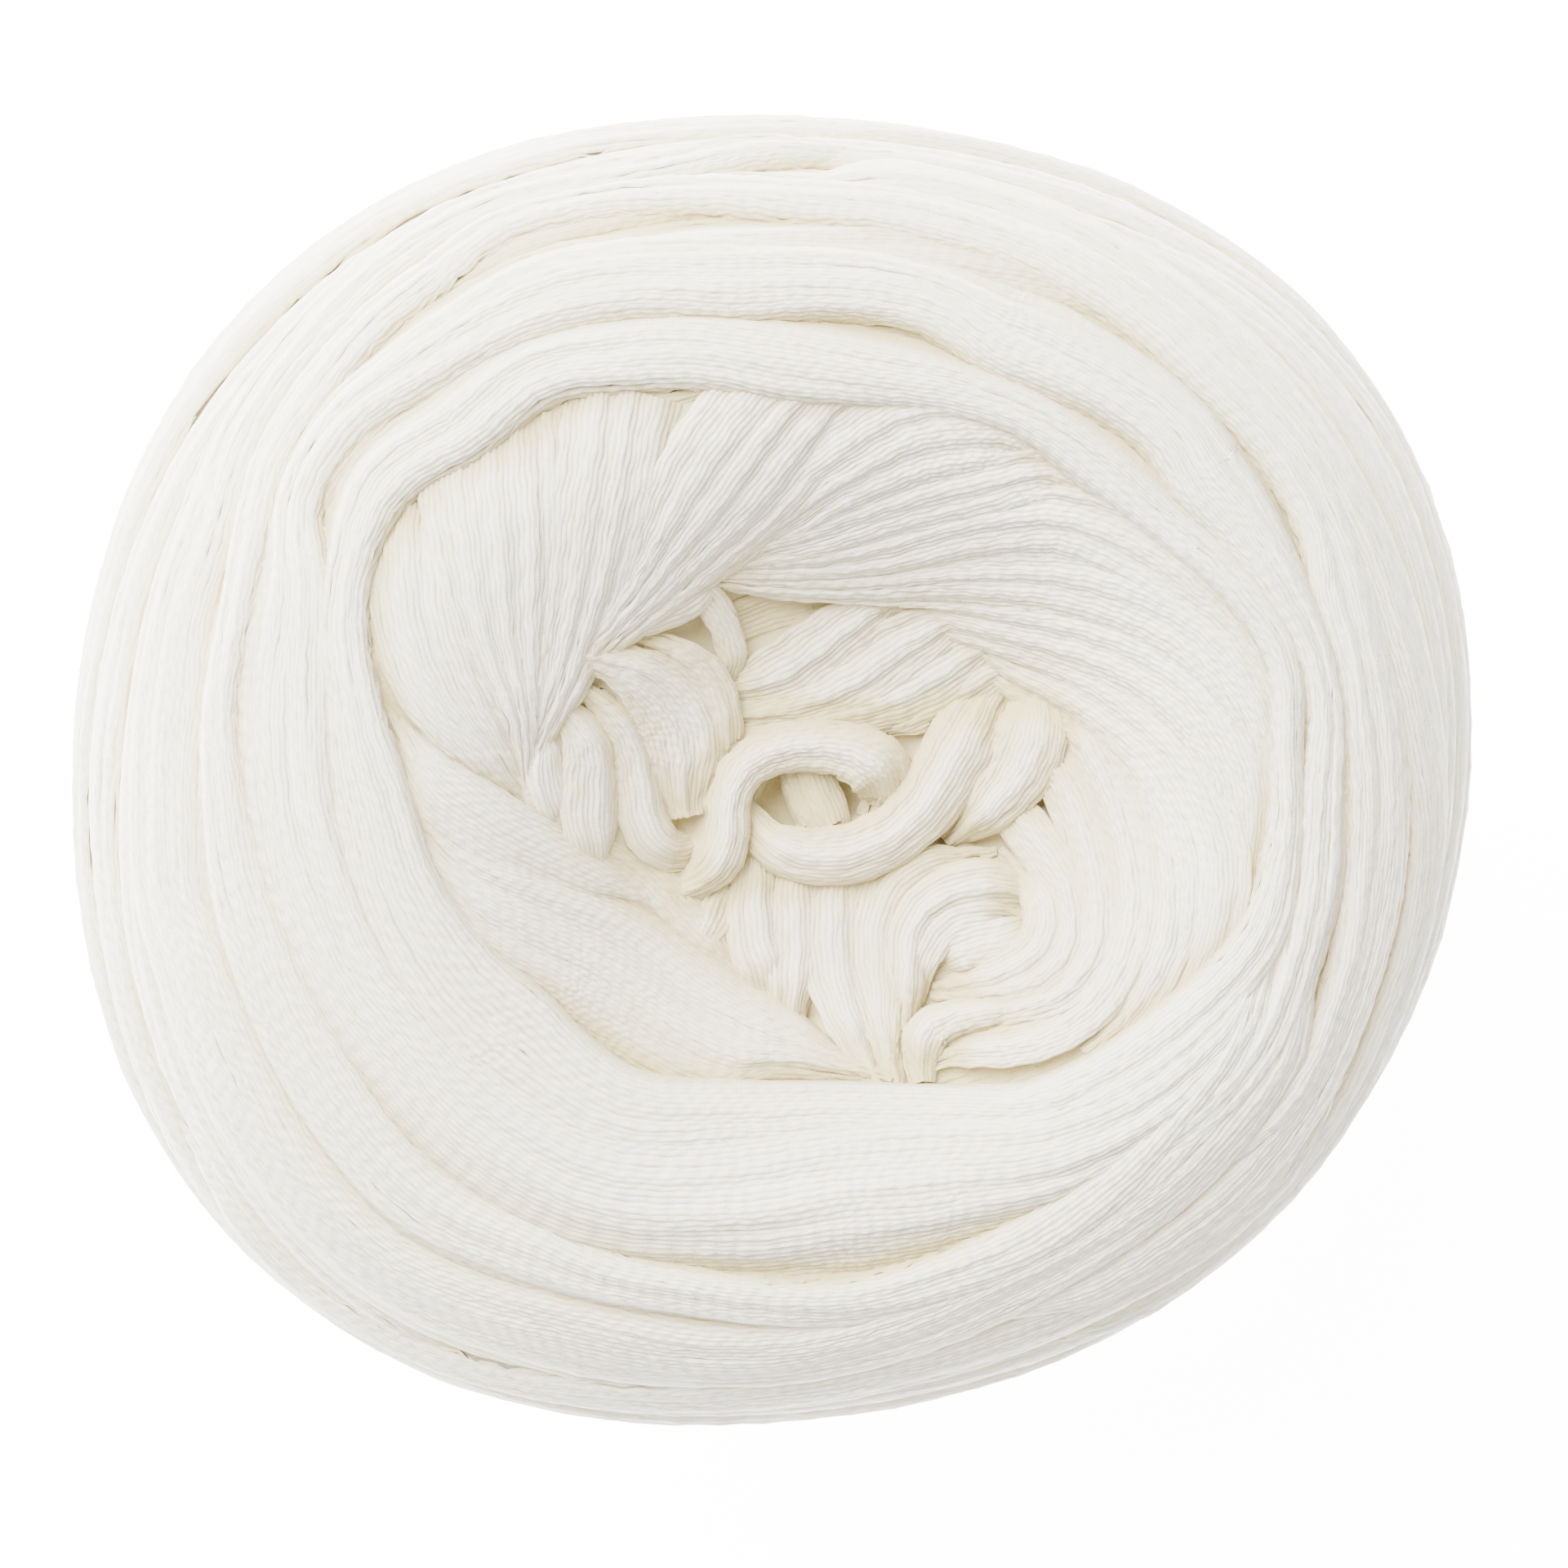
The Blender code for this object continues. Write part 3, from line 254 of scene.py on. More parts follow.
# Chart of the surface: cell, half width, and the depth of bare ground between windings
CELL = 0.3
CHART_HALF = 190.0
LAY_STEP = 0.2
GROUND, HOLLOW_GROUND = -2.6, -4.4
HOLLOW_EDGE, HOLLOW_BLEND = 30.0, 8.0

# Section of a fold: share of the width taken by the rounded edge, and where the tuck begins
EDGE_SHARE, TUCK_SHARE = 0.16, 0.38
LAP = 1.4
RIB_PITCH, RIB_HEIGHT = 3.1, 0.14
RIB_WANDER, RIB_WANDER_RUN = 0.05, 11.0
END_RUN, END_WIDTH, END_PART = 14.0, 0.35, 0.3
END_DROP, LOOP_END_WIDTH = 1.2, 0.7
# Round strands dive under their neighbours: level of the crown at their ends, over this run
DIVE_LEVEL, DIVE_RUN = -1.8, 8.0
# Folds lie flatter on the left: share of the depth lost, and where in x the change ends and over how far
FLATTER_LEFT, FLAT_EDGE, FLAT_BLEND = 0.25, -8.0, 26.0
SHEET_WIDTH = 8.5

# Windings of the side and of the foot: a spiral, one turn this far under the last
WALL_START, WALL_PITCH, WALL_TURNS = 55.0, 9.2, 7.8
# The spiral goes on under the foot as far as this turn, and stops this far from its middle
FOOT_TURNS, FOOT_CENTRE = 14.2, 0.5
# The foot's threads start this part of a turn before the side's threads end, so that no gap shows
SPIRAL_OVERLAP = 0.012
WALL_WIDTH, WALL_DEPTH = 13.0, 2.0
WALL_COVERED, WALL_COVER_DROP = (74.0, 84.0), 0.9
WALL_SAMPLES = 2200
WALL_WAVES = ((2.0, 1.1, 0.4), (5.3, 0.6, 1.9))
# Layer under the face's folds and loops: it shows at the bottom of gaps
BED_START, BED_TURNS = 4.0, 7.0
BED_LEVEL, HOLLOW_BED_LEVEL, BED_DEPTH = -1.9, -2.6, 1.2
FOOT_FADE = (116.0, 130.0)
FOOT_DEPTH, FOOT_LEVEL = 0.5, -0.45
# The middles of the lowest threads, and the surface under them, lie this far above the ground
FOOT_LIFT = 0.35

# The surface under the threads: how far it is sunk, its rows and columns, passes of thinning and easing
CORE_SINK = 0.05
CORE_ROW, CORE_COLUMNS = 1.3, 330
THIN_PASSES, EASE_PASSES = 2, 4

# Threads: distance apart, radius, flatness, sides, and the share of the radius past which corners are sharp
THREAD_PITCH = 0.5
THREAD_RADIUS = 0.28
THREAD_FLATNESS = 0.6
THREAD_SIDES = 3
CORNER_SHARE = 0.6
# A thread is as thick as this share of its room, within limits, and below this share it is crowded
THICKNESS_SHARE = 0.76
THINNEST, THICKEST = 0.6, 1.7
CROWDED = 0.6
# A strip has as many threads as fit where it is wider than this percentage of its length
WIDE_PERCENTILE = 85
FEWEST_THREADS = 3
SECTION_SAMPLES = 241
# Step along the threads of folds, loops, side, foot and bed
FOLD_STEP, LOOP_STEP, WALL_STEP, FOOT_STEP, BED_STEP = 1.3, 0.8, 2.2, 5.0, 1.6
# A thread shows down to this depth under the chart, and a cell's rise deeper on slopes up to the steepest
HIDE_DEPTH, STEEPEST = 0.3, 4.0
# A thread that is covered for up to twice this many points goes on being drawn
BRIDGE_POINTS = 2
# Step across a strip, as a share of its width, over which its slope is read
SHARE_STEP = 0.01
# Waves of a thread sideways and in height: length, size, and how far neighbours differ in phase
SIDE_WAVES = ((43.0, 0.2, 0.14), (13.0, 0.08, 0.4), (3.4, 0.07, 0.9))
LIFT_WAVES = ((53.0, 0.07, 2.0), (19.0, 0.05, 2.0), (4.3, 0.05, 2.2))
PACE_SPREAD = 0.003
# Thickness: its wave along a thread, and how far one thread differs from another
GIRTH_WAVE = (3.7, 0.07)
GIRTH_SPREAD = 0.07
# Twist and gaps start up to this far along from one thread to another
THREAD_OFFSET = 1000.0
# A place is in a crease, and gets painted crease shade, where the windings round it stand this much higher
CREASE_PASSES, CREASE_DEPTH = 7, 2.2
# The whole hollow gets a little of the painted crease shade
HOLLOW_SHADE = 0.3

# Camera: sensor, lens, nearest distance in metres, and the small move that puts the cake in its place
SENSOR_WIDTH, LENS, NEAREST = 36.0, 106.6, 0.01
AIM_RIGHT, AIM_AWAY = 0.37, -1.07

# Light: an even sky, and one broad round window with its place and width in metres and its power
SKY_STRENGTH = 1.76
SKY_COLOUR = (1.0, 0.985, 0.955, 1.0)
WINDOW_PLACE, WINDOW_SIZE, WINDOW_POWER = (-0.62, 0.72, 0.8), 1.2, 94.0


def hex_colour(text):
    """Linear colour of an sRGB hex value."""
    shares = [int(text[k:k + 2], 16) / 255.0 for k in (0, 2, 4)]
    return tuple(s / 12.92 if s <= 0.04045 else ((s + 0.055) / 1.055) ** 2.4 for s in shares) + (1.0,)


# Undyed cotton: a warm white that turns cream in patches, with painted shade between threads and a painted
# honey shade in creases and the hollow, where light only reaches through it
COTTON_WHITE = hex_colour("f5f0e6")
COTTON_CREAM = hex_colour("f3ecdd")
COTTON_SHADE = hex_colour("e8e0d0")
# The next colour is painted shade between threads, and the one after it a painted warm shade for creases
# and the hollow
PAINTED_GAP_SHADE = hex_colour("c2b68f")
PAINTED_CREASE_SHADE = hex_colour("c8b884")
COTTON_ROUGHNESS, COTTON_SPECULAR = 0.95, 0.25
SHEEN_WEIGHT, SHEEN_ROUGHNESS = 0.2, 0.6
# How much there is at most of the darker thread tone, of the painted shade between threads and of the
# painted crease shade
THREAD_TONE, GAP_SHADE_SHARE, CREASE_SHADE_SHARE = 0.5, 0.7, 0.95
# Creamier patches: how many to the metre, and the noise over which they come in
PATCH_SCALE, PATCH_FROM, PATCH_TO = 40.0, 0.35, 0.7
# Painted shade in the gaps between threads: from where to where on a thread's flank it darkens
GAP_FROM, GAP_TO = 0.15, 0.66
# Along a thread the painted gap shade changes every 2.5 mm or so, down to this share where the gaps are
# closed
GAP_SCALE, CLOSED_NOISE, OPEN_NOISE, CLOSED_SHARE = 0.4, 0.36, 0.62, 0.45
# Fuzz of loose fibres: how many to the metre, and its bump's strength and height in metres
FUZZ_SCALE, FUZZ_STRENGTH, FUZZ_HEIGHT = 3000.0, 0.5, 0.0002
FUZZ_DETAIL, FUZZ_ROUGHNESS = 3.0, 0.65
# Twist of a thread's plies: pitch in millimetres, slant, and the groove's bump
TWIST_PITCH, TWIST_SLANT = 1.7, 0.5
TWIST_STRENGTH, TWIST_HEIGHT = 0.5, 0.00006
# The board under the cake: half its width in metres, and its look
FLOOR_HALF = 1.5
FLOOR_WHITE, FLOOR_LIGHT = hex_colour("fbfbfb"), (1.0, 1.0, 1.0, 1.0)
FLOOR_ROUGHNESS, FLOOR_GLOW = 0.9, 12.0


def smooth(value):
    """Ease from 0 to 1."""
    held = np.clip(value, 0.0, 1.0)
    return held * held * (3.0 - 2.0 * held)


def curve(known, values, at):
    """Smooth curve through the known places, read at other places."""
    slopes = np.gradient(values, known)
    left = np.clip(np.searchsorted(known, at) - 1, 0, len(known) - 2)
    span = known[left + 1] - known[left]
    t = (at - known[left]) / span
    rise = (2 * t - 3) * t * t
    return ((1 + rise) * values[left] + (t - 1) ** 2 * t * span * slopes[left]
            - rise * values[left + 1] + (t - 1) * t * t * span * slopes[left + 1])


RADII, HEIGHTS = np.array(MERIDIAN).T
ALONG = np.concatenate([[0.0], np.cumsum(np.hypot(np.diff(RADII), np.diff(HEIGHTS)))])
WIDEST = int(np.argmax(RADII))
FACE_RUN = np.linspace(0.0, ALONG[WIDEST], FACE_SAMPLES)
FACE_RADIUS = np.maximum.accumulate(curve(ALONG, RADII, FACE_RUN))


def plan_factor(theta):
    """How far out of round the plan is in a direction."""
    factor = np.ones_like(theta)
    for lobes, share, toward in PLAN_LOBES:
        factor = factor + share * np.cos(lobes * (theta - np.radians(toward)))
    return factor


def hollow_weight(radius):
    """Full pull toward the hollow's own middle at the centre, none at the side."""
    return smooth(1.0 - radius / HOLLOW_PULL)


def form(theta, run):
    """Point of the plain form and its outward direction."""
    run = np.clip(run, 0.0, ALONG[-1])
    radius = np.maximum(curve(ALONG, RADII, run), 0.0)
    height = np.maximum(curve(ALONG, HEIGHTS, run), 0.0)
    pull = hollow_weight(radius)
    reach = radius * (1.0 + (plan_factor(theta) - 1.0) * (1.0 - pull))
    point = np.stack([reach * np.cos(theta) + HOLLOW_X * pull,
                      reach * np.sin(theta) + HOLLOW_Y * pull, height], axis=-1)
    out = -np.gradient(HEIGHTS, ALONG)
    up = np.gradient(RADII, ALONG)
    lean = np.arctan2(np.interp(run, ALONG, out), np.interp(run, ALONG, up))
    facing = np.stack([np.sin(lean) * np.cos(theta), np.sin(lean) * np.sin(theta), np.cos(lean)], axis=-1)
    return point, facing


def face_chart(x, y):
    """Direction and run of the form's face under a place in plan."""
    radius = np.hypot(x, y)
    theta = np.arctan2(y, x)
    for _ in range(PLAN_ROUNDS):
        pull = hollow_weight(radius)
        theta = np.arctan2(y - HOLLOW_Y * pull, x - HOLLOW_X * pull)
        reach = np.hypot(y - HOLLOW_Y * pull, x - HOLLOW_X * pull)
        radius = reach / (1.0 + (plan_factor(theta) - 1.0) * (1.0 - pull))
    return theta, np.interp(radius, FACE_RADIUS, FACE_RUN)


def sight():
    """The camera's directions: back toward it, away up the picture, and right."""
    tilt, toward = np.radians(SIGHT_TILT), np.radians(SIGHT_TOWARD)
    back = np.array([np.sin(tilt) * np.cos(toward), np.sin(tilt) * np.sin(toward), np.cos(tilt)])
    away = np.array([0.0, 1.0, 0.0]) - back[1] * back
    away = away / np.linalg.norm(away)
    return back, away, np.cross(away, back)


def seat(x, y):
    """Chart place where the sight line of a face reading meets the plain form."""
    back, away, right = sight()
    middle = np.array(SIGHT_MIDDLE)
    eye = middle + SIGHT_REACH * back
    line = middle + np.outer(x + READ_X, right) + np.outer(y + READ_Y, away) - eye
    height = np.full(len(x), START_HEIGHT)
    for _ in range(SETTLE_ROUNDS):
        foot = eye + line * ((height - eye[2]) / line[:, 2])[:, None]
        theta, run = face_chart(foot[:, 0], foot[:, 1])
        height = height + SETTLE_SHARE * (curve(ALONG, HEIGHTS, run) - height)
    return np.stack([run * np.cos(theta), run * np.sin(theta)], axis=1)


def course(rows):
    """A smooth line through a strip's rows: distance along it, x, y and width."""
    x, y, width = np.array(rows, float).T
    known = np.concatenate([[0.0], np.cumsum(np.hypot(np.diff(x), np.diff(y)))])
    at = np.linspace(0.0, known[-1], int(known[-1] / LAY_STEP) + 2)
    return at, curve(known, x, at), curve(known, y, at), curve(known, width, at)


def across(line):
    """Unit direction to the right of a chart line's travel."""
    step = np.gradient(line, axis=0)
    step = step / np.linalg.norm(step, axis=1)[:, None]
    return np.stack([step[:, 1], -step[:, 0]], axis=1)


def fold_section(share):
    """Height of a fold's section, 1 at the crown and 0 at the two sides."""
    edge = np.sqrt(np.clip(1.0 - (1.0 - share / EDGE_SHARE) ** 2, 0.0, 1.0))
    tuck = 1.0 - smooth((share - TUCK_SHARE) / (1.0 - TUCK_SHARE))
    return np.where(share < EDGE_SHARE, edge, tuck)


def loop_section(share):
    """Height of a round strand's section."""
    return np.sqrt(np.clip(1.0 - (2.0 * share - 1.0) ** 2, 0.0, 1.0))


def end_share(at, run):
    """How far a place is from a strip's two ends, 0 to 1."""
    return smooth(np.minimum(at, at[-1] - at) / min(run, END_PART * at[-1]))


class Strip:
    """One winding, fold or loop: its two sides on the chart and its section."""

    def __init__(self, at, near, far, width, crown, depth, section, step):
        self.at, self.near, self.far, self.width = at, near, far, width
        self.crown = np.zeros(len(at)) + crown
        self.depth = np.zeros(len(at)) + depth
        self.wander = RIB_WANDER * np.sin(at / RIB_WANDER_RUN)
        self.ribs = max(round(float(width.max()) / RIB_PITCH), 1)
        self.section, self.step = section, step

    def height(self, share, crown, depth, wander):
        """Height over the plain form, ribs with it."""
        rib = np.cos(2.0 * np.pi * self.ribs * (share + wander))
        return crown + depth * (self.section(share) - 1.0) + RIB_HEIGHT * rib

    def lay(self, chart):
        """Lay the strip on the chart, keeping whatever is highest."""
        share = np.linspace(0.0, 1.0, int(self.width.max() / LAY_STEP) + 2)[None, :]
        place = self.near[:, None, :] + (self.far - self.near)[:, None, :] * share[..., None]
        height = self.height(share, self.crown[:, None], self.depth[:, None], self.wander[:, None])
        cells = np.clip(np.round((place + CHART_HALF) / CELL).astype(int), 0, chart.shape[0] - 1)
        np.maximum.at(chart, (cells[..., 0], cells[..., 1]), height)


def fold_strip(level, depth, rows):
    """A fold, read at its showing inner edge."""
    at, x, y, width = course(rows)
    near = seat(x, y)
    inside = end_share(at, END_RUN)
    reach = LAP * width * (END_WIDTH + (1.0 - END_WIDTH) * inside)
    far = near + across(near) * reach[:, None]
    depth = depth * (1.0 - FLATTER_LEFT * smooth((FLAT_EDGE - x) / FLAT_BLEND))
    crown = level - END_DROP * (1.0 - inside)
    return Strip(at, near, far, width, crown, depth, fold_section, FOLD_STEP)


def loop_strip(level, depth, rows):
    """A loop or sheet, read at its middle."""
    at, x, y, width = course(rows)
    middle = seat(x, y)
    wide = width.max() > SHEET_WIDTH
    narrow = 1.0 if wide else LOOP_END_WIDTH
    inside = end_share(at, END_RUN if wide else DIVE_RUN)
    half = across(middle) * (0.5 * width * (narrow + (1.0 - narrow) * inside))[:, None]
    end_level = level - END_DROP if wide else DIVE_LEVEL
    crown = end_level + (level - end_level) * inside
    return Strip(at, middle - half, middle + half, width, crown, depth, loop_section, LOOP_STEP)


def spiral_strip(first, last, step):
    """Windings of the side or foot: the spiral from its first turn here to its last."""
    turn = 2.0 * np.pi * np.linspace(first, last, int((last - first) * WALL_SAMPLES))
    run_down = WALL_START + WALL_PITCH * turn / (2.0 * np.pi)
    for waves, size, phase in WALL_WAVES:
        run_down = run_down + size * np.sin(waves * turn + phase)
    run_down = np.minimum(run_down, ALONG[-1] - FOOT_CENTRE)
    upper = np.stack([run_down * np.cos(turn), run_down * np.sin(turn)], axis=1)
    covered = 1.0 - smooth((run_down - WALL_COVERED[0]) / (WALL_COVERED[1] - WALL_COVERED[0]))
    under = smooth((run_down - FOOT_FADE[0]) / (FOOT_FADE[1] - FOOT_FADE[0]))
    crown = -WALL_COVER_DROP * covered + FOOT_LEVEL * under
    depth = WALL_DEPTH + (FOOT_DEPTH - WALL_DEPTH) * under
    lower = upper * (1.0 + WALL_WIDTH / run_down)[:, None]
    return Strip(run_down[0] * turn, upper, lower, np.full(len(turn), WALL_WIDTH), crown, depth,
                 fold_section, step)


def bed_strip():
    """The layer under the face, a loose spiral out from the middle of the hollow."""
    turn = np.linspace(0.0, 2.0 * np.pi * BED_TURNS, int(BED_TURNS * WALL_SAMPLES))
    run = BED_START + WALL_PITCH * turn / (2.0 * np.pi)
    inner = np.stack([run * np.cos(turn), run * np.sin(turn)], axis=1)
    outer = inner * (1.0 + WALL_WIDTH / run)[:, None]
    rim = smooth((run - HOLLOW_EDGE) / HOLLOW_BLEND)
    crown = HOLLOW_BED_LEVEL + (BED_LEVEL - HOLLOW_BED_LEVEL) * rim
    at = np.concatenate([[0.0], np.cumsum(np.linalg.norm(np.diff(inner, axis=0), axis=1))])
    return Strip(at, inner, outer, np.full(len(turn), WALL_WIDTH), crown, BED_DEPTH, fold_section, BED_STEP)


def all_strips():
    """Every strip, by the piece that its threads go to."""
    zones = {"outer_fold_threads": [], "inner_fold_threads": [], "hollow_threads": []}
    for name, level, depth, rows in FOLDS:
        zone = "inner_fold_threads" if name in INNER_FOLDS else "outer_fold_threads"
        zones[zone].append(fold_strip(level, depth, rows))
    for name, level, depth, rows in LOOPS:
        zones["hollow_threads"].append(loop_strip(level, depth, rows))
    zones["hollow_threads"].append(bed_strip())
    zones["side_threads"] = [spiral_strip(0.0, WALL_TURNS, WALL_STEP)]
    zones["foot_threads"] = [spiral_strip(WALL_TURNS - SPIRAL_OVERLAP, FOOT_TURNS, FOOT_STEP)]
    return zones


def wound_chart(zones):
    """Height of the windings over the plain form, on a flat chart of run and direction."""
    side = int(2.0 * CHART_HALF / CELL) + 1
    grid = np.linspace(-CHART_HALF, CHART_HALF, side)
    run = np.hypot(grid[:, None], grid[None, :])
    chart = HOLLOW_GROUND + (GROUND - HOLLOW_GROUND) * smooth((run - HOLLOW_EDGE) / HOLLOW_BLEND)
    under = smooth((run - FOOT_FADE[0]) / (FOOT_FADE[1] - FOOT_FADE[0]))
    chart = chart * (1.0 - under) + (FOOT_LEVEL - FOOT_DEPTH) * under
    for strips in zones.values():
        for strip in strips:
            strip.lay(chart)
    return chart


def spread(chart, passes, pick):
    """Widen the chart's highs or lows by a cell a pass."""
    for _ in range(passes):
        for axis in (0, 1):
            chart = pick(chart, pick(np.roll(chart, 1, axis), np.roll(chart, -1, axis)))
    return chart


def ease(chart, passes):
    """Even out the chart a little."""
    for _ in range(passes):
        for axis in (0, 1):
            chart = 0.5 * chart + 0.25 * (np.roll(chart, 1, axis) + np.roll(chart, -1, axis))
    return chart


def read_chart(chart, u, v):
    """Chart value between its cells."""
    across_u = (u + CHART_HALF) / CELL
    across_v = (v + CHART_HALF) / CELL
    i = np.clip(across_u.astype(int), 0, chart.shape[0] - 2)
    j = np.clip(across_v.astype(int), 0, chart.shape[1] - 2)
    a, b = across_u - i, across_v - j
    return ((1 - a) * (1 - b) * chart[i, j] + a * (1 - b) * chart[i + 1, j]
            + (1 - a) * b * chart[i, j + 1] + a * b * chart[i + 1, j + 1])


def crease_at(ridge, u, v, height):
    """How deep a place lies in a crease or in the hollow, 0 to 1: the share of painted crease shade."""
    rim = smooth((np.hypot(u, v) - HOLLOW_EDGE + HOLLOW_BLEND) / (2.0 * HOLLOW_BLEND))
    depth = (read_chart(ridge, u, v) - height) / CREASE_DEPTH
    return np.clip(depth + HOLLOW_SHADE * (1.0 - rim), 0.0, 1.0)


def on_cake(u, v, height):
    """Point in the cake's space of a chart place and height."""
    run = np.hypot(u, v)
    point, facing = form(np.arctan2(v, u), run)
    return point + facing * height[..., None], facing


def wave(chance, count, along, waves):
    """Smooth waves along threads: near neighbours move nearly together."""
    total = np.zeros((count, len(along)))
    for length, size, differ in waves:
        phase = np.cumsum(chance.normal(0.0, differ, count)) + chance.uniform(0.0, 2.0 * np.pi)
        pace = 1.0 + chance.normal(0.0, PACE_SPREAD, count)
        total += size * np.sin(2.0 * np.pi * along[None, :] * pace[:, None] / length + phase[:, None])
    return total


def either_side(shown):
    """Whether the point before or after is shown."""
    padded = np.pad(shown, ((0, 0), (1, 1)))
    return padded[:, :-2] | padded[:, 2:]


def bridge(shown):
    """Keep a thread that is covered for a few points only."""
    for _ in range(BRIDGE_POINTS):
        shown = shown | either_side(shown)
    for _ in range(BRIDGE_POINTS):
        padded = np.pad(shown, ((0, 0), (1, 1)), constant_values=True)
        shown = shown & padded[:, :-2] & padded[:, 2:]
    return shown


def strip_threads(strip, top, ridge, chance):
    """Threads of one strip as points, chains and what each point carries."""
    fine = np.linspace(0.0, 1.0, SECTION_SAMPLES)
    rise = np.diff(strip.section(fine)) * strip.depth.mean()
    widest = np.percentile(np.linalg.norm(strip.far - strip.near, axis=1), WIDE_PERCENTILE)
    around = np.concatenate([[0.0], np.cumsum(np.hypot(np.diff(fine) * widest, rise))])
    count = max(int(around[-1] / THREAD_PITCH), FEWEST_THREADS)
    shares = np.interp((np.arange(count) + 0.5) * around[-1] / count, around, fine)
    line, _ = on_cake(strip.near[:, 0], strip.near[:, 1], np.zeros(len(strip.at)))
    real = np.concatenate([[0.0], np.cumsum(np.linalg.norm(np.diff(line, axis=0), axis=1))])
    along = np.arange(0.0, real[-1], strip.step)
    at = np.interp(along, real, strip.at)
    near = np.stack([np.interp(at, strip.at, strip.near[:, k]) for k in (0, 1)], axis=1)
    far = np.stack([np.interp(at, strip.at, strip.far[:, k]) for k in (0, 1)], axis=1)
    reach = np.linalg.norm(far - near, axis=1)
    rows = [np.interp(at, strip.at, row)[None, :] for row in (strip.crown, strip.depth, strip.wander)]

    side = wave(chance, count, along, SIDE_WAVES)
    share = np.clip(shares[:, None] + side / np.maximum(reach, 1.0)[None, :], 0.0, 1.0)
    height = strip.height(share, *rows)
    right = strip.height(np.minimum(share + SHARE_STEP, 1.0), *rows)
    left = strip.height(np.maximum(share - SHARE_STEP, 0.0), *rows)
    steep = np.abs(right - left) / (2.0 * SHARE_STEP) / np.maximum(reach, 1.0)
    place = near[None] + (far - near)[None] * share[..., None]
    u, v = place[..., 0], place[..., 1]
    shown = bridge(height > read_chart(top, u, v) - HIDE_DEPTH - np.minimum(steep, STEEPEST) * CELL)
    # How much painted crease shade each point gets
    crease = crease_at(ridge, u, v, height)
    point, outward = on_cake(u, v, height + wave(chance, count, along, LIFT_WAVES))

    beside = np.gradient(point, axis=0)
    ahead = np.gradient(point, axis=1)
    facing = np.cross(ahead, beside)
    facing = facing / np.maximum(np.linalg.norm(facing, axis=-1), 1e-6)[..., None]
    facing = facing * np.sign(np.sum(facing * outward, axis=-1) + 1e-9)[..., None]
    apart = np.linalg.norm(beside, axis=-1)
    # Where threads crowd together every second one goes under, and those beside it take its room
    second = (np.arange(count) % 2 == 1)[:, None]
    sunk = bridge(apart < CROWDED * THREAD_PITCH) & second
    padded = np.pad(sunk, ((1, 1), (0, 0)))
    shown = shown & ~sunk
    apart = np.where(padded[:-2] | padded[2:], 2.0 * apart, apart)
    girth = np.clip(THICKNESS_SHARE * apart / THREAD_RADIUS, THINNEST, THICKEST)
    girth = girth * (1.0 + GIRTH_WAVE[1] * np.sin(2.0 * np.pi * along[None, :] / GIRTH_WAVE[0]
                                                  + chance.uniform(0.0, 2.0 * np.pi, count)[:, None]))
    girth = girth * (1.0 + chance.normal(0.0, GIRTH_SPREAD, count))[:, None]
    tone = np.broadcast_to(chance.uniform(0.0, 1.0, count)[:, None], share.shape)
    length = np.broadcast_to(along[None, :], share.shape) + THREAD_OFFSET * tone

    # A thread shows for two points or more, and dives under what covers it for one point at each end
    shown = shown & either_side(shown)
    kept = shown | either_side(shown)
    index = np.full(kept.shape, -1)
    index[kept] = np.arange(kept.sum())
    joined = kept[:, :-1] & kept[:, 1:]
    chains = np.stack([index[:, :-1][joined], index[:, 1:][joined]], axis=1)
    carried = {"facing": facing[kept], "girth": girth[kept], "tone": tone[kept], "length": length[kept],
               "crease": crease[kept]}
    return point[kept], chains, carried


def set_sockets(node, values):
    """Give a node's sockets values of their own."""
    for name, value in values.items():
        node.inputs[name].default_value = value


def add(tree, kind, settings=None, values=None, links=None):
    """A node with its settings, its sockets' values and its links."""
    node = tree.nodes.new(kind)
    for name, value in (settings or {}).items():
        setattr(node, name, value)
    set_sockets(node, values or {})
    for name, source in (links or {}).items():
        tree.links.new(source, node.inputs[name])
    return node


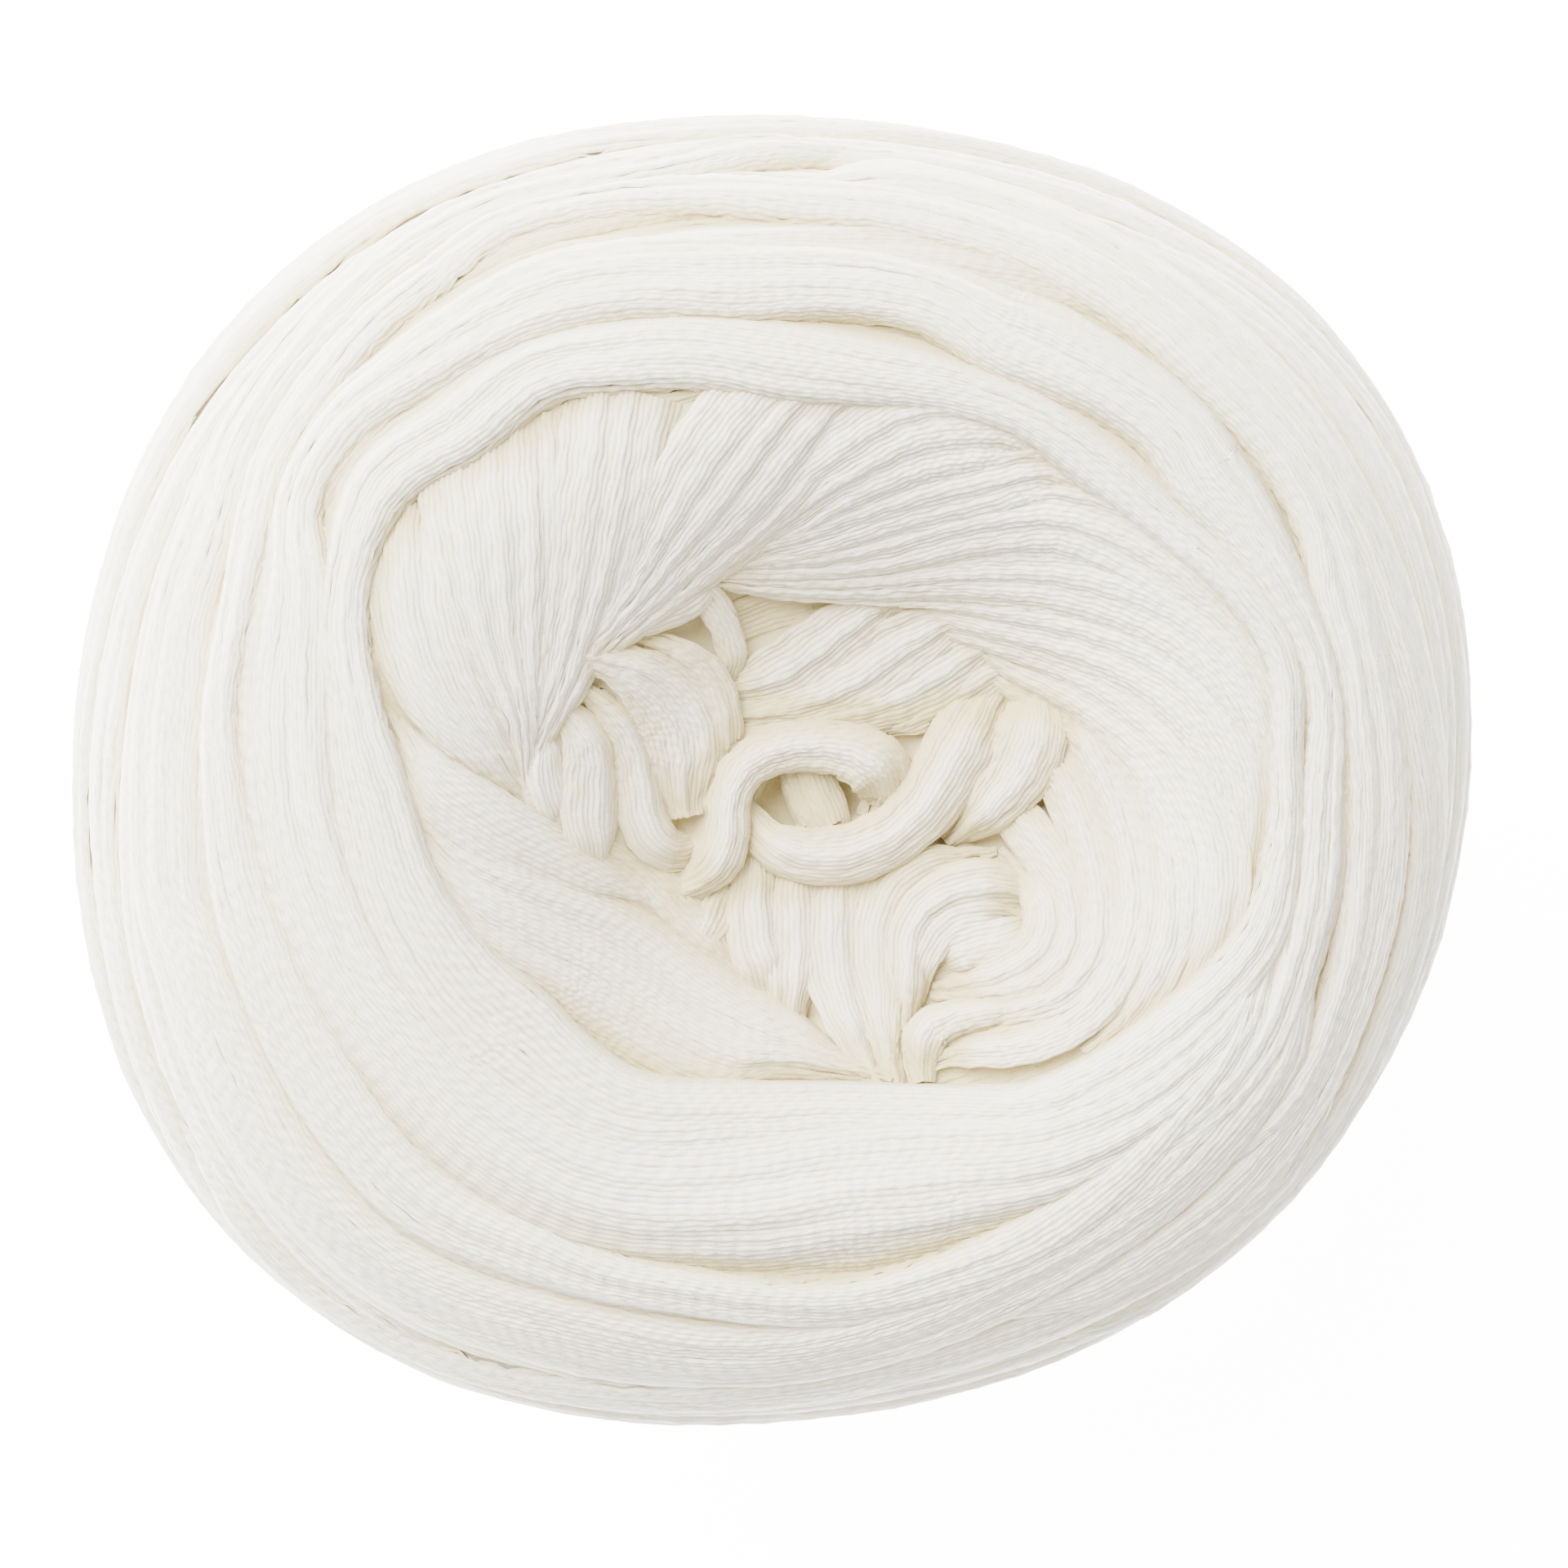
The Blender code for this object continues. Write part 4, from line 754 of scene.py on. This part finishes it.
def spun_thread_tree(material):
    """Geometry nodes that sweep a three-sided thread along each line, its ridge facing outward."""
    tree = bpy.data.node_groups.new("spun_thread", "GeometryNodeTree")
    tree.interface.new_socket("Lines", in_out="INPUT", socket_type="NodeSocketGeometry")
    radius = tree.interface.new_socket("Thread radius", in_out="INPUT", socket_type="NodeSocketFloat")
    sides = tree.interface.new_socket("Thread sides", in_out="INPUT", socket_type="NodeSocketInt")
    tree.interface.new_socket("Threads", in_out="OUTPUT", socket_type="NodeSocketGeometry")
    given = add(tree, "NodeGroupInput").outputs
    facing = add(tree, "GeometryNodeInputNamedAttribute", {"data_type": "FLOAT_VECTOR"}, {"Name": "facing"})
    girth = add(tree, "GeometryNodeInputNamedAttribute", {"data_type": "FLOAT"}, {"Name": "girth"})
    lines = add(tree, "GeometryNodeMeshToCurve", None, None, {"Mesh": given["Lines"]})
    turned = add(tree, "GeometryNodeSetCurveNormal", {"mode": "FREE"}, None,
                 {"Curve": lines.outputs["Curve"], "Normal": facing.outputs["Attribute"]})
    ring = add(tree, "GeometryNodeCurvePrimitiveCircle", None, None,
               {"Resolution": given["Thread sides"], "Radius": given["Thread radius"]})
    place = add(tree, "ShaderNodeSeparateXYZ", None, None,
                {"Vector": add(tree, "GeometryNodeInputPosition").outputs["Position"]})
    share = add(tree, "ShaderNodeMath", {"operation": "DIVIDE"}, None,
                {0: place.outputs["Y"], 1: given["Thread radius"]})
    pressed = add(tree, "GeometryNodeTransform", None, {"Scale": (THREAD_FLATNESS, 1.0, 1.0)},
                  {"Geometry": ring.outputs["Curve"]})
    marked = add(tree, "GeometryNodeStoreNamedAttribute", {"data_type": "FLOAT", "domain": "POINT"},
                 {"Name": "flank"}, {"Geometry": pressed.outputs["Geometry"], "Value": share.outputs[0]})
    swept = add(tree, "GeometryNodeCurveToMesh", None, {"Fill Caps": True},
                {"Curve": turned.outputs["Curve"], "Profile Curve": marked.outputs["Geometry"],
                 "Scale": girth.outputs["Attribute"]})
    eased = add(tree, "GeometryNodeSetShadeSmooth", None, None, {"Geometry": swept.outputs["Mesh"]})
    # The two lower corners stay sharp, so that the flat underside doesn't darken the flanks
    flank = add(tree, "GeometryNodeInputNamedAttribute", {"data_type": "FLOAT"}, {"Name": "flank"})
    wide = add(tree, "ShaderNodeMath", {"operation": "ABSOLUTE"}, None, {0: flank.outputs["Attribute"]})
    corner = add(tree, "ShaderNodeMath", {"operation": "GREATER_THAN"}, {1: CORNER_SHARE},
                 {0: wide.outputs[0]})
    eased = add(tree, "GeometryNodeSetShadeSmooth", {"domain": "EDGE"}, {"Shade Smooth": False},
                {"Geometry": eased.outputs["Geometry"], "Selection": corner.outputs[0]})
    real = add(tree, "GeometryNodeRealizeInstances", None, None, {"Geometry": eased.outputs["Geometry"]})
    finish = add(tree, "GeometryNodeSetMaterial", None, {"Material": material},
                 {"Geometry": real.outputs["Geometry"]})
    add(tree, "NodeGroupOutput", None, None, {"Threads": finish.outputs["Geometry"]})
    return tree, radius.identifier, sides.identifier


def set_out(name, data):
    """A new object in the scene."""
    item = bpy.data.objects.new(name, data)
    bpy.context.scene.collection.objects.link(item)
    return item


def plain_piece(name, source, material):
    """A piece of its own from an object's finished mesh."""
    bpy.context.view_layer.update()
    mesh = bpy.data.meshes.new_from_object(source.evaluated_get(bpy.context.evaluated_depsgraph_get()))
    mesh.name = name
    bpy.data.objects.remove(source)
    if not mesh.materials:
        mesh.materials.append(material)
    return set_out(name, mesh)


def thread_piece(name, strips, top, ridge, shift, swept, material, seed):
    """All threads of a zone, as one mesh."""
    chance = np.random.default_rng(seed)
    points, chains, carried, count = [], [], [], 0
    for strip in strips:
        placed, joined, extra = strip_threads(strip, top, ridge, chance)
        points.append(placed)
        chains.append(joined + count)
        carried.append(extra)
        count += len(placed)
    points = (np.concatenate(points) - shift) * MM
    points[:, 2] = np.maximum(points[:, 2], FOOT_LIFT * MM)
    chains = np.concatenate(chains)
    lines = bpy.data.meshes.new(name + "_lines")
    lines.vertices.add(len(points))
    lines.vertices.foreach_set("co", points.ravel())
    lines.edges.add(len(chains))
    lines.edges.foreach_set("vertices", chains.ravel())
    facing = lines.attributes.new("facing", "FLOAT_VECTOR", "POINT")
    facing.data.foreach_set("vector", np.concatenate([extra["facing"] for extra in carried]).ravel())
    for kind in ("girth", "tone", "length", "crease"):
        values = lines.attributes.new(kind, "FLOAT", "POINT")
        values.data.foreach_set("value", np.concatenate([extra[kind] for extra in carried]))
    source = set_out(name + "_lines", lines)
    tree, radius, sides = swept
    sweep = source.modifiers.new("sweep", "NODES")
    sweep.node_group = tree
    sweep[radius] = THREAD_RADIUS * MM
    sweep[sides] = THREAD_SIDES
    return plain_piece(name, source, material)


def core_piece(chart, ridge, material):
    """The closed surface under the threads, and where its middle is in plan."""
    rows = np.arange(CORE_ROW, ALONG[-1], CORE_ROW)
    theta = np.linspace(0.0, 2.0 * np.pi, CORE_COLUMNS, endpoint=False)
    run = np.concatenate([[0.0], np.repeat(rows, CORE_COLUMNS), [ALONG[-1]]])
    turn = np.concatenate([[0.0], np.tile(theta, len(rows)), [0.0]])
    u, v = run * np.cos(turn), run * np.sin(turn)
    height = read_chart(chart, u, v)
    points, _ = on_cake(u, v, height - CORE_SINK)
    # How much painted crease shade each point of the surface gets
    crease = crease_at(ridge, u, v, height)
    wall, _ = on_cake(u, v, height)
    middle = 0.5 * (wall.min(axis=0) + wall.max(axis=0))
    shift = np.array([middle[0], middle[1], 0.0])
    points = (points - shift) * MM
    points[:, 2] = np.maximum(points[:, 2], FOOT_LIFT * MM)

    first = 1 + np.arange(len(rows) * CORE_COLUMNS).reshape(len(rows), CORE_COLUMNS)
    after = np.roll(first, -1, axis=1)
    quads = np.stack([first[:-1], first[1:], after[1:], after[:-1]], axis=-1).reshape(-1, 4)
    cap = np.stack([np.zeros(CORE_COLUMNS, int), first[0], after[0]], axis=-1)
    last = len(points) - 1
    foot = np.stack([np.full(CORE_COLUMNS, last), after[-1], first[-1]], axis=-1)
    mesh = bpy.data.meshes.new("wound_core")
    mesh.from_pydata(points.tolist(), [], cap.tolist() + quads.tolist() + foot.tolist())
    mesh.polygons.foreach_set("use_smooth", np.ones(len(mesh.polygons), bool))
    values = mesh.attributes.new("crease", "FLOAT", "POINT")
    values.data.foreach_set("value", crease)
    mesh.materials.append(material)
    return set_out("wound_core", mesh), shift


def cotton(name, threads):
    """Undyed combed cotton, softly twisted: matt, a faint halo of fibres, painted shade between threads and
    a painted warm shade where it is folded in.
    """
    material = bpy.data.materials.new(name)
    material.use_nodes = True
    tree = material.node_tree
    shader = tree.nodes["Principled BSDF"]
    set_sockets(shader, {"Roughness": COTTON_ROUGHNESS, "Specular IOR Level": COTTON_SPECULAR,
                         "Sheen Weight": SHEEN_WEIGHT, "Sheen Roughness": SHEEN_ROUGHNESS})
    place = add(tree, "ShaderNodeTexCoord").outputs["Object"]
    crease = add(tree, "ShaderNodeAttribute", {"attribute_name": "crease"})
    # Patches 25 mm across, where the cotton is a little creamier
    patches = add(tree, "ShaderNodeTexNoise", None, {"Scale": PATCH_SCALE}, {"Vector": place})
    patch_share = add(tree, "ShaderNodeMapRange", None, {"From Min": PATCH_FROM, "From Max": PATCH_TO},
                      {"Value": patches.outputs["Fac"]})
    body = add(tree, "ShaderNodeMix", {"data_type": "RGBA"}, {"A": COTTON_WHITE, "B": COTTON_CREAM},
               {"Factor": patch_share.outputs["Result"]})
    colour = body.outputs["Result"]
    if threads:
        # Each thread has its own tone, as undyed cotton varies
        tone = add(tree, "ShaderNodeAttribute", {"attribute_name": "tone"})
        shade = add(tree, "ShaderNodeMapRange", None, {"To Max": THREAD_TONE},
                    {"Value": tone.outputs["Fac"]})
        colour = add(tree, "ShaderNodeMix", {"data_type": "RGBA"}, {"B": COTTON_SHADE},
                     {"Factor": shade.outputs["Result"], "A": colour}).outputs["Result"]
        # Painted shade: little light reaches down between two threads, so their flanks are darkened there
        flank = add(tree, "ShaderNodeAttribute", {"attribute_name": "flank"})
        wide = add(tree, "ShaderNodeMath", {"operation": "ABSOLUTE"}, None, {0: flank.outputs["Fac"]})
        between = add(tree, "ShaderNodeMapRange", {"interpolation_type": "SMOOTHSTEP"},
                      {"From Min": GAP_FROM, "From Max": GAP_TO, "To Max": GAP_SHADE_SHARE},
                      {"Value": wide.outputs[0]})
        # The painted gap shade opens and closes along its length, as the threads lie crinkled
        length = add(tree, "ShaderNodeAttribute", {"attribute_name": "length"})
        spot = add(tree, "ShaderNodeCombineXYZ", None, None,
                   {"X": length.outputs["Fac"], "Y": flank.outputs["Fac"]})
        broken = add(tree, "ShaderNodeTexNoise", None, {"Scale": GAP_SCALE}, {"Vector": spot.outputs[0]})
        limits = {"From Min": CLOSED_NOISE, "From Max": OPEN_NOISE, "To Min": CLOSED_SHARE}
        opened = add(tree, "ShaderNodeMapRange", None, limits, {"Value": broken.outputs["Fac"]})
        gap = add(tree, "ShaderNodeMath", {"operation": "MULTIPLY"}, None,
                  {0: between.outputs["Result"], 1: opened.outputs["Result"]})
        colour = add(tree, "ShaderNodeMix", {"data_type": "RGBA"}, {"B": PAINTED_GAP_SHADE},
                     {"Factor": gap.outputs[0], "A": colour}).outputs["Result"]
    # Painted shade: cotton that is folded in, and the hollow, turn a warm honey colour
    deep = add(tree, "ShaderNodeMapRange", {"interpolation_type": "SMOOTHSTEP"},
               {"To Max": CREASE_SHADE_SHARE}, {"Value": crease.outputs["Fac"]})
    colour = add(tree, "ShaderNodeMix", {"data_type": "RGBA"}, {"B": PAINTED_CREASE_SHADE},
                 {"Factor": deep.outputs["Result"], "A": colour}).outputs["Result"]
    tree.links.new(colour, shader.inputs["Base Color"])

    # Loose fibres are 0.02 mm thick, too fine to show, and are drawn 0.3 mm across
    fuzz = add(tree, "ShaderNodeTexNoise", None,
               {"Scale": FUZZ_SCALE, "Detail": FUZZ_DETAIL, "Roughness": FUZZ_ROUGHNESS}, {"Vector": place})
    bump = add(tree, "ShaderNodeBump", None, {"Strength": FUZZ_STRENGTH, "Distance": FUZZ_HEIGHT},
               {"Height": fuzz.outputs["Fac"]})
    if threads:
        # Twist of the plies: a slanting groove along the thread
        slant = add(tree, "ShaderNodeMath", {"operation": "MULTIPLY_ADD"}, {1: TWIST_SLANT},
                    {0: flank.outputs["Fac"], 2: length.outputs["Fac"]})
        angle = add(tree, "ShaderNodeMath", {"operation": "MULTIPLY"}, {1: 2.0 * np.pi / TWIST_PITCH},
                    {0: slant.outputs[0]})
        groove = add(tree, "ShaderNodeMath", {"operation": "SINE"}, None, {0: angle.outputs[0]})
        bump = add(tree, "ShaderNodeBump", None, {"Strength": TWIST_STRENGTH, "Distance": TWIST_HEIGHT},
                   {"Height": groove.outputs[0], "Normal": bump.outputs["Normal"]})
    tree.links.new(bump.outputs["Normal"], shader.inputs["Normal"])
    return material


def pale_board():
    """A plain matt white board, lit through from below as for a cut-out picture."""
    material = bpy.data.materials.new("matt_white_board")
    material.use_nodes = True
    set_sockets(material.node_tree.nodes["Principled BSDF"],
                {"Base Color": FLOOR_WHITE, "Roughness": FLOOR_ROUGHNESS,
                 "Emission Color": FLOOR_LIGHT, "Emission Strength": FLOOR_GLOW})
    return material


def stage_and_light():
    """Floor, sky light, one broad light from the upper left, and the camera."""
    mesh = bpy.data.meshes.new("floor")
    corners = [(x * FLOOR_HALF, y * FLOOR_HALF, 0.0) for x, y in ((-1, -1), (1, -1), (1, 1), (-1, 1))]
    mesh.from_pydata(corners, [], [(0, 1, 2, 3)])
    mesh.materials.append(pale_board())
    floor = set_out("floor", mesh)

    world = bpy.data.worlds.new("studio")
    world.use_nodes = True
    set_sockets(world.node_tree.nodes["Background"], {"Color": SKY_COLOUR, "Strength": SKY_STRENGTH})
    bpy.context.scene.world = world

    lamp = bpy.data.lights.new("window", "AREA")
    lamp.shape = "DISK"
    lamp.size = WINDOW_SIZE
    lamp.energy = WINDOW_POWER
    window = set_out("window", lamp)
    window.location = WINDOW_PLACE
    window.rotation_euler = (-Vector(WINDOW_PLACE)).to_track_quat("-Z", "Y").to_euler()

    back, away, right = sight()
    lens = bpy.data.cameras.new("camera")
    lens.sensor_width = SENSOR_WIDTH
    lens.lens = LENS
    lens.clip_start = NEAREST
    camera = set_out("camera", lens)
    spot = np.array(SIGHT_MIDDLE) + SIGHT_REACH * back + AIM_RIGHT * right + AIM_AWAY * away
    turn = Matrix([right, away, back]).transposed().to_4x4()
    camera.matrix_world = Matrix.Translation(Vector(spot * MM)) @ turn
    bpy.context.scene.camera = camera


def main():
    zones = all_strips()
    laid = wound_chart(zones)
    # The height of the windings round a place tells how deep it lies, and the lowest carry the surface
    ridge = ease(spread(laid, CREASE_PASSES, np.maximum), CREASE_PASSES)
    under = ease(spread(laid, THIN_PASSES, np.minimum), EASE_PASSES)
    thread_cotton = cotton("combed_cotton_thread", True)
    core_cotton = cotton("combed_cotton_underneath", False)
    core, shift = core_piece(under, ridge, core_cotton)
    swept = spun_thread_tree(thread_cotton)
    pieces = [core]
    for seed, (name, strips) in enumerate(zones.items()):
        pieces.append(thread_piece(name, strips, laid, ridge, shift, swept, thread_cotton, seed))
    for piece in pieces:
        print(piece.name, sum(len(p.vertices) - 2 for p in piece.data.polygons), "triangles")
        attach(piece, "root")
        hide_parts(CAKE)
    stage_and_light()


main()
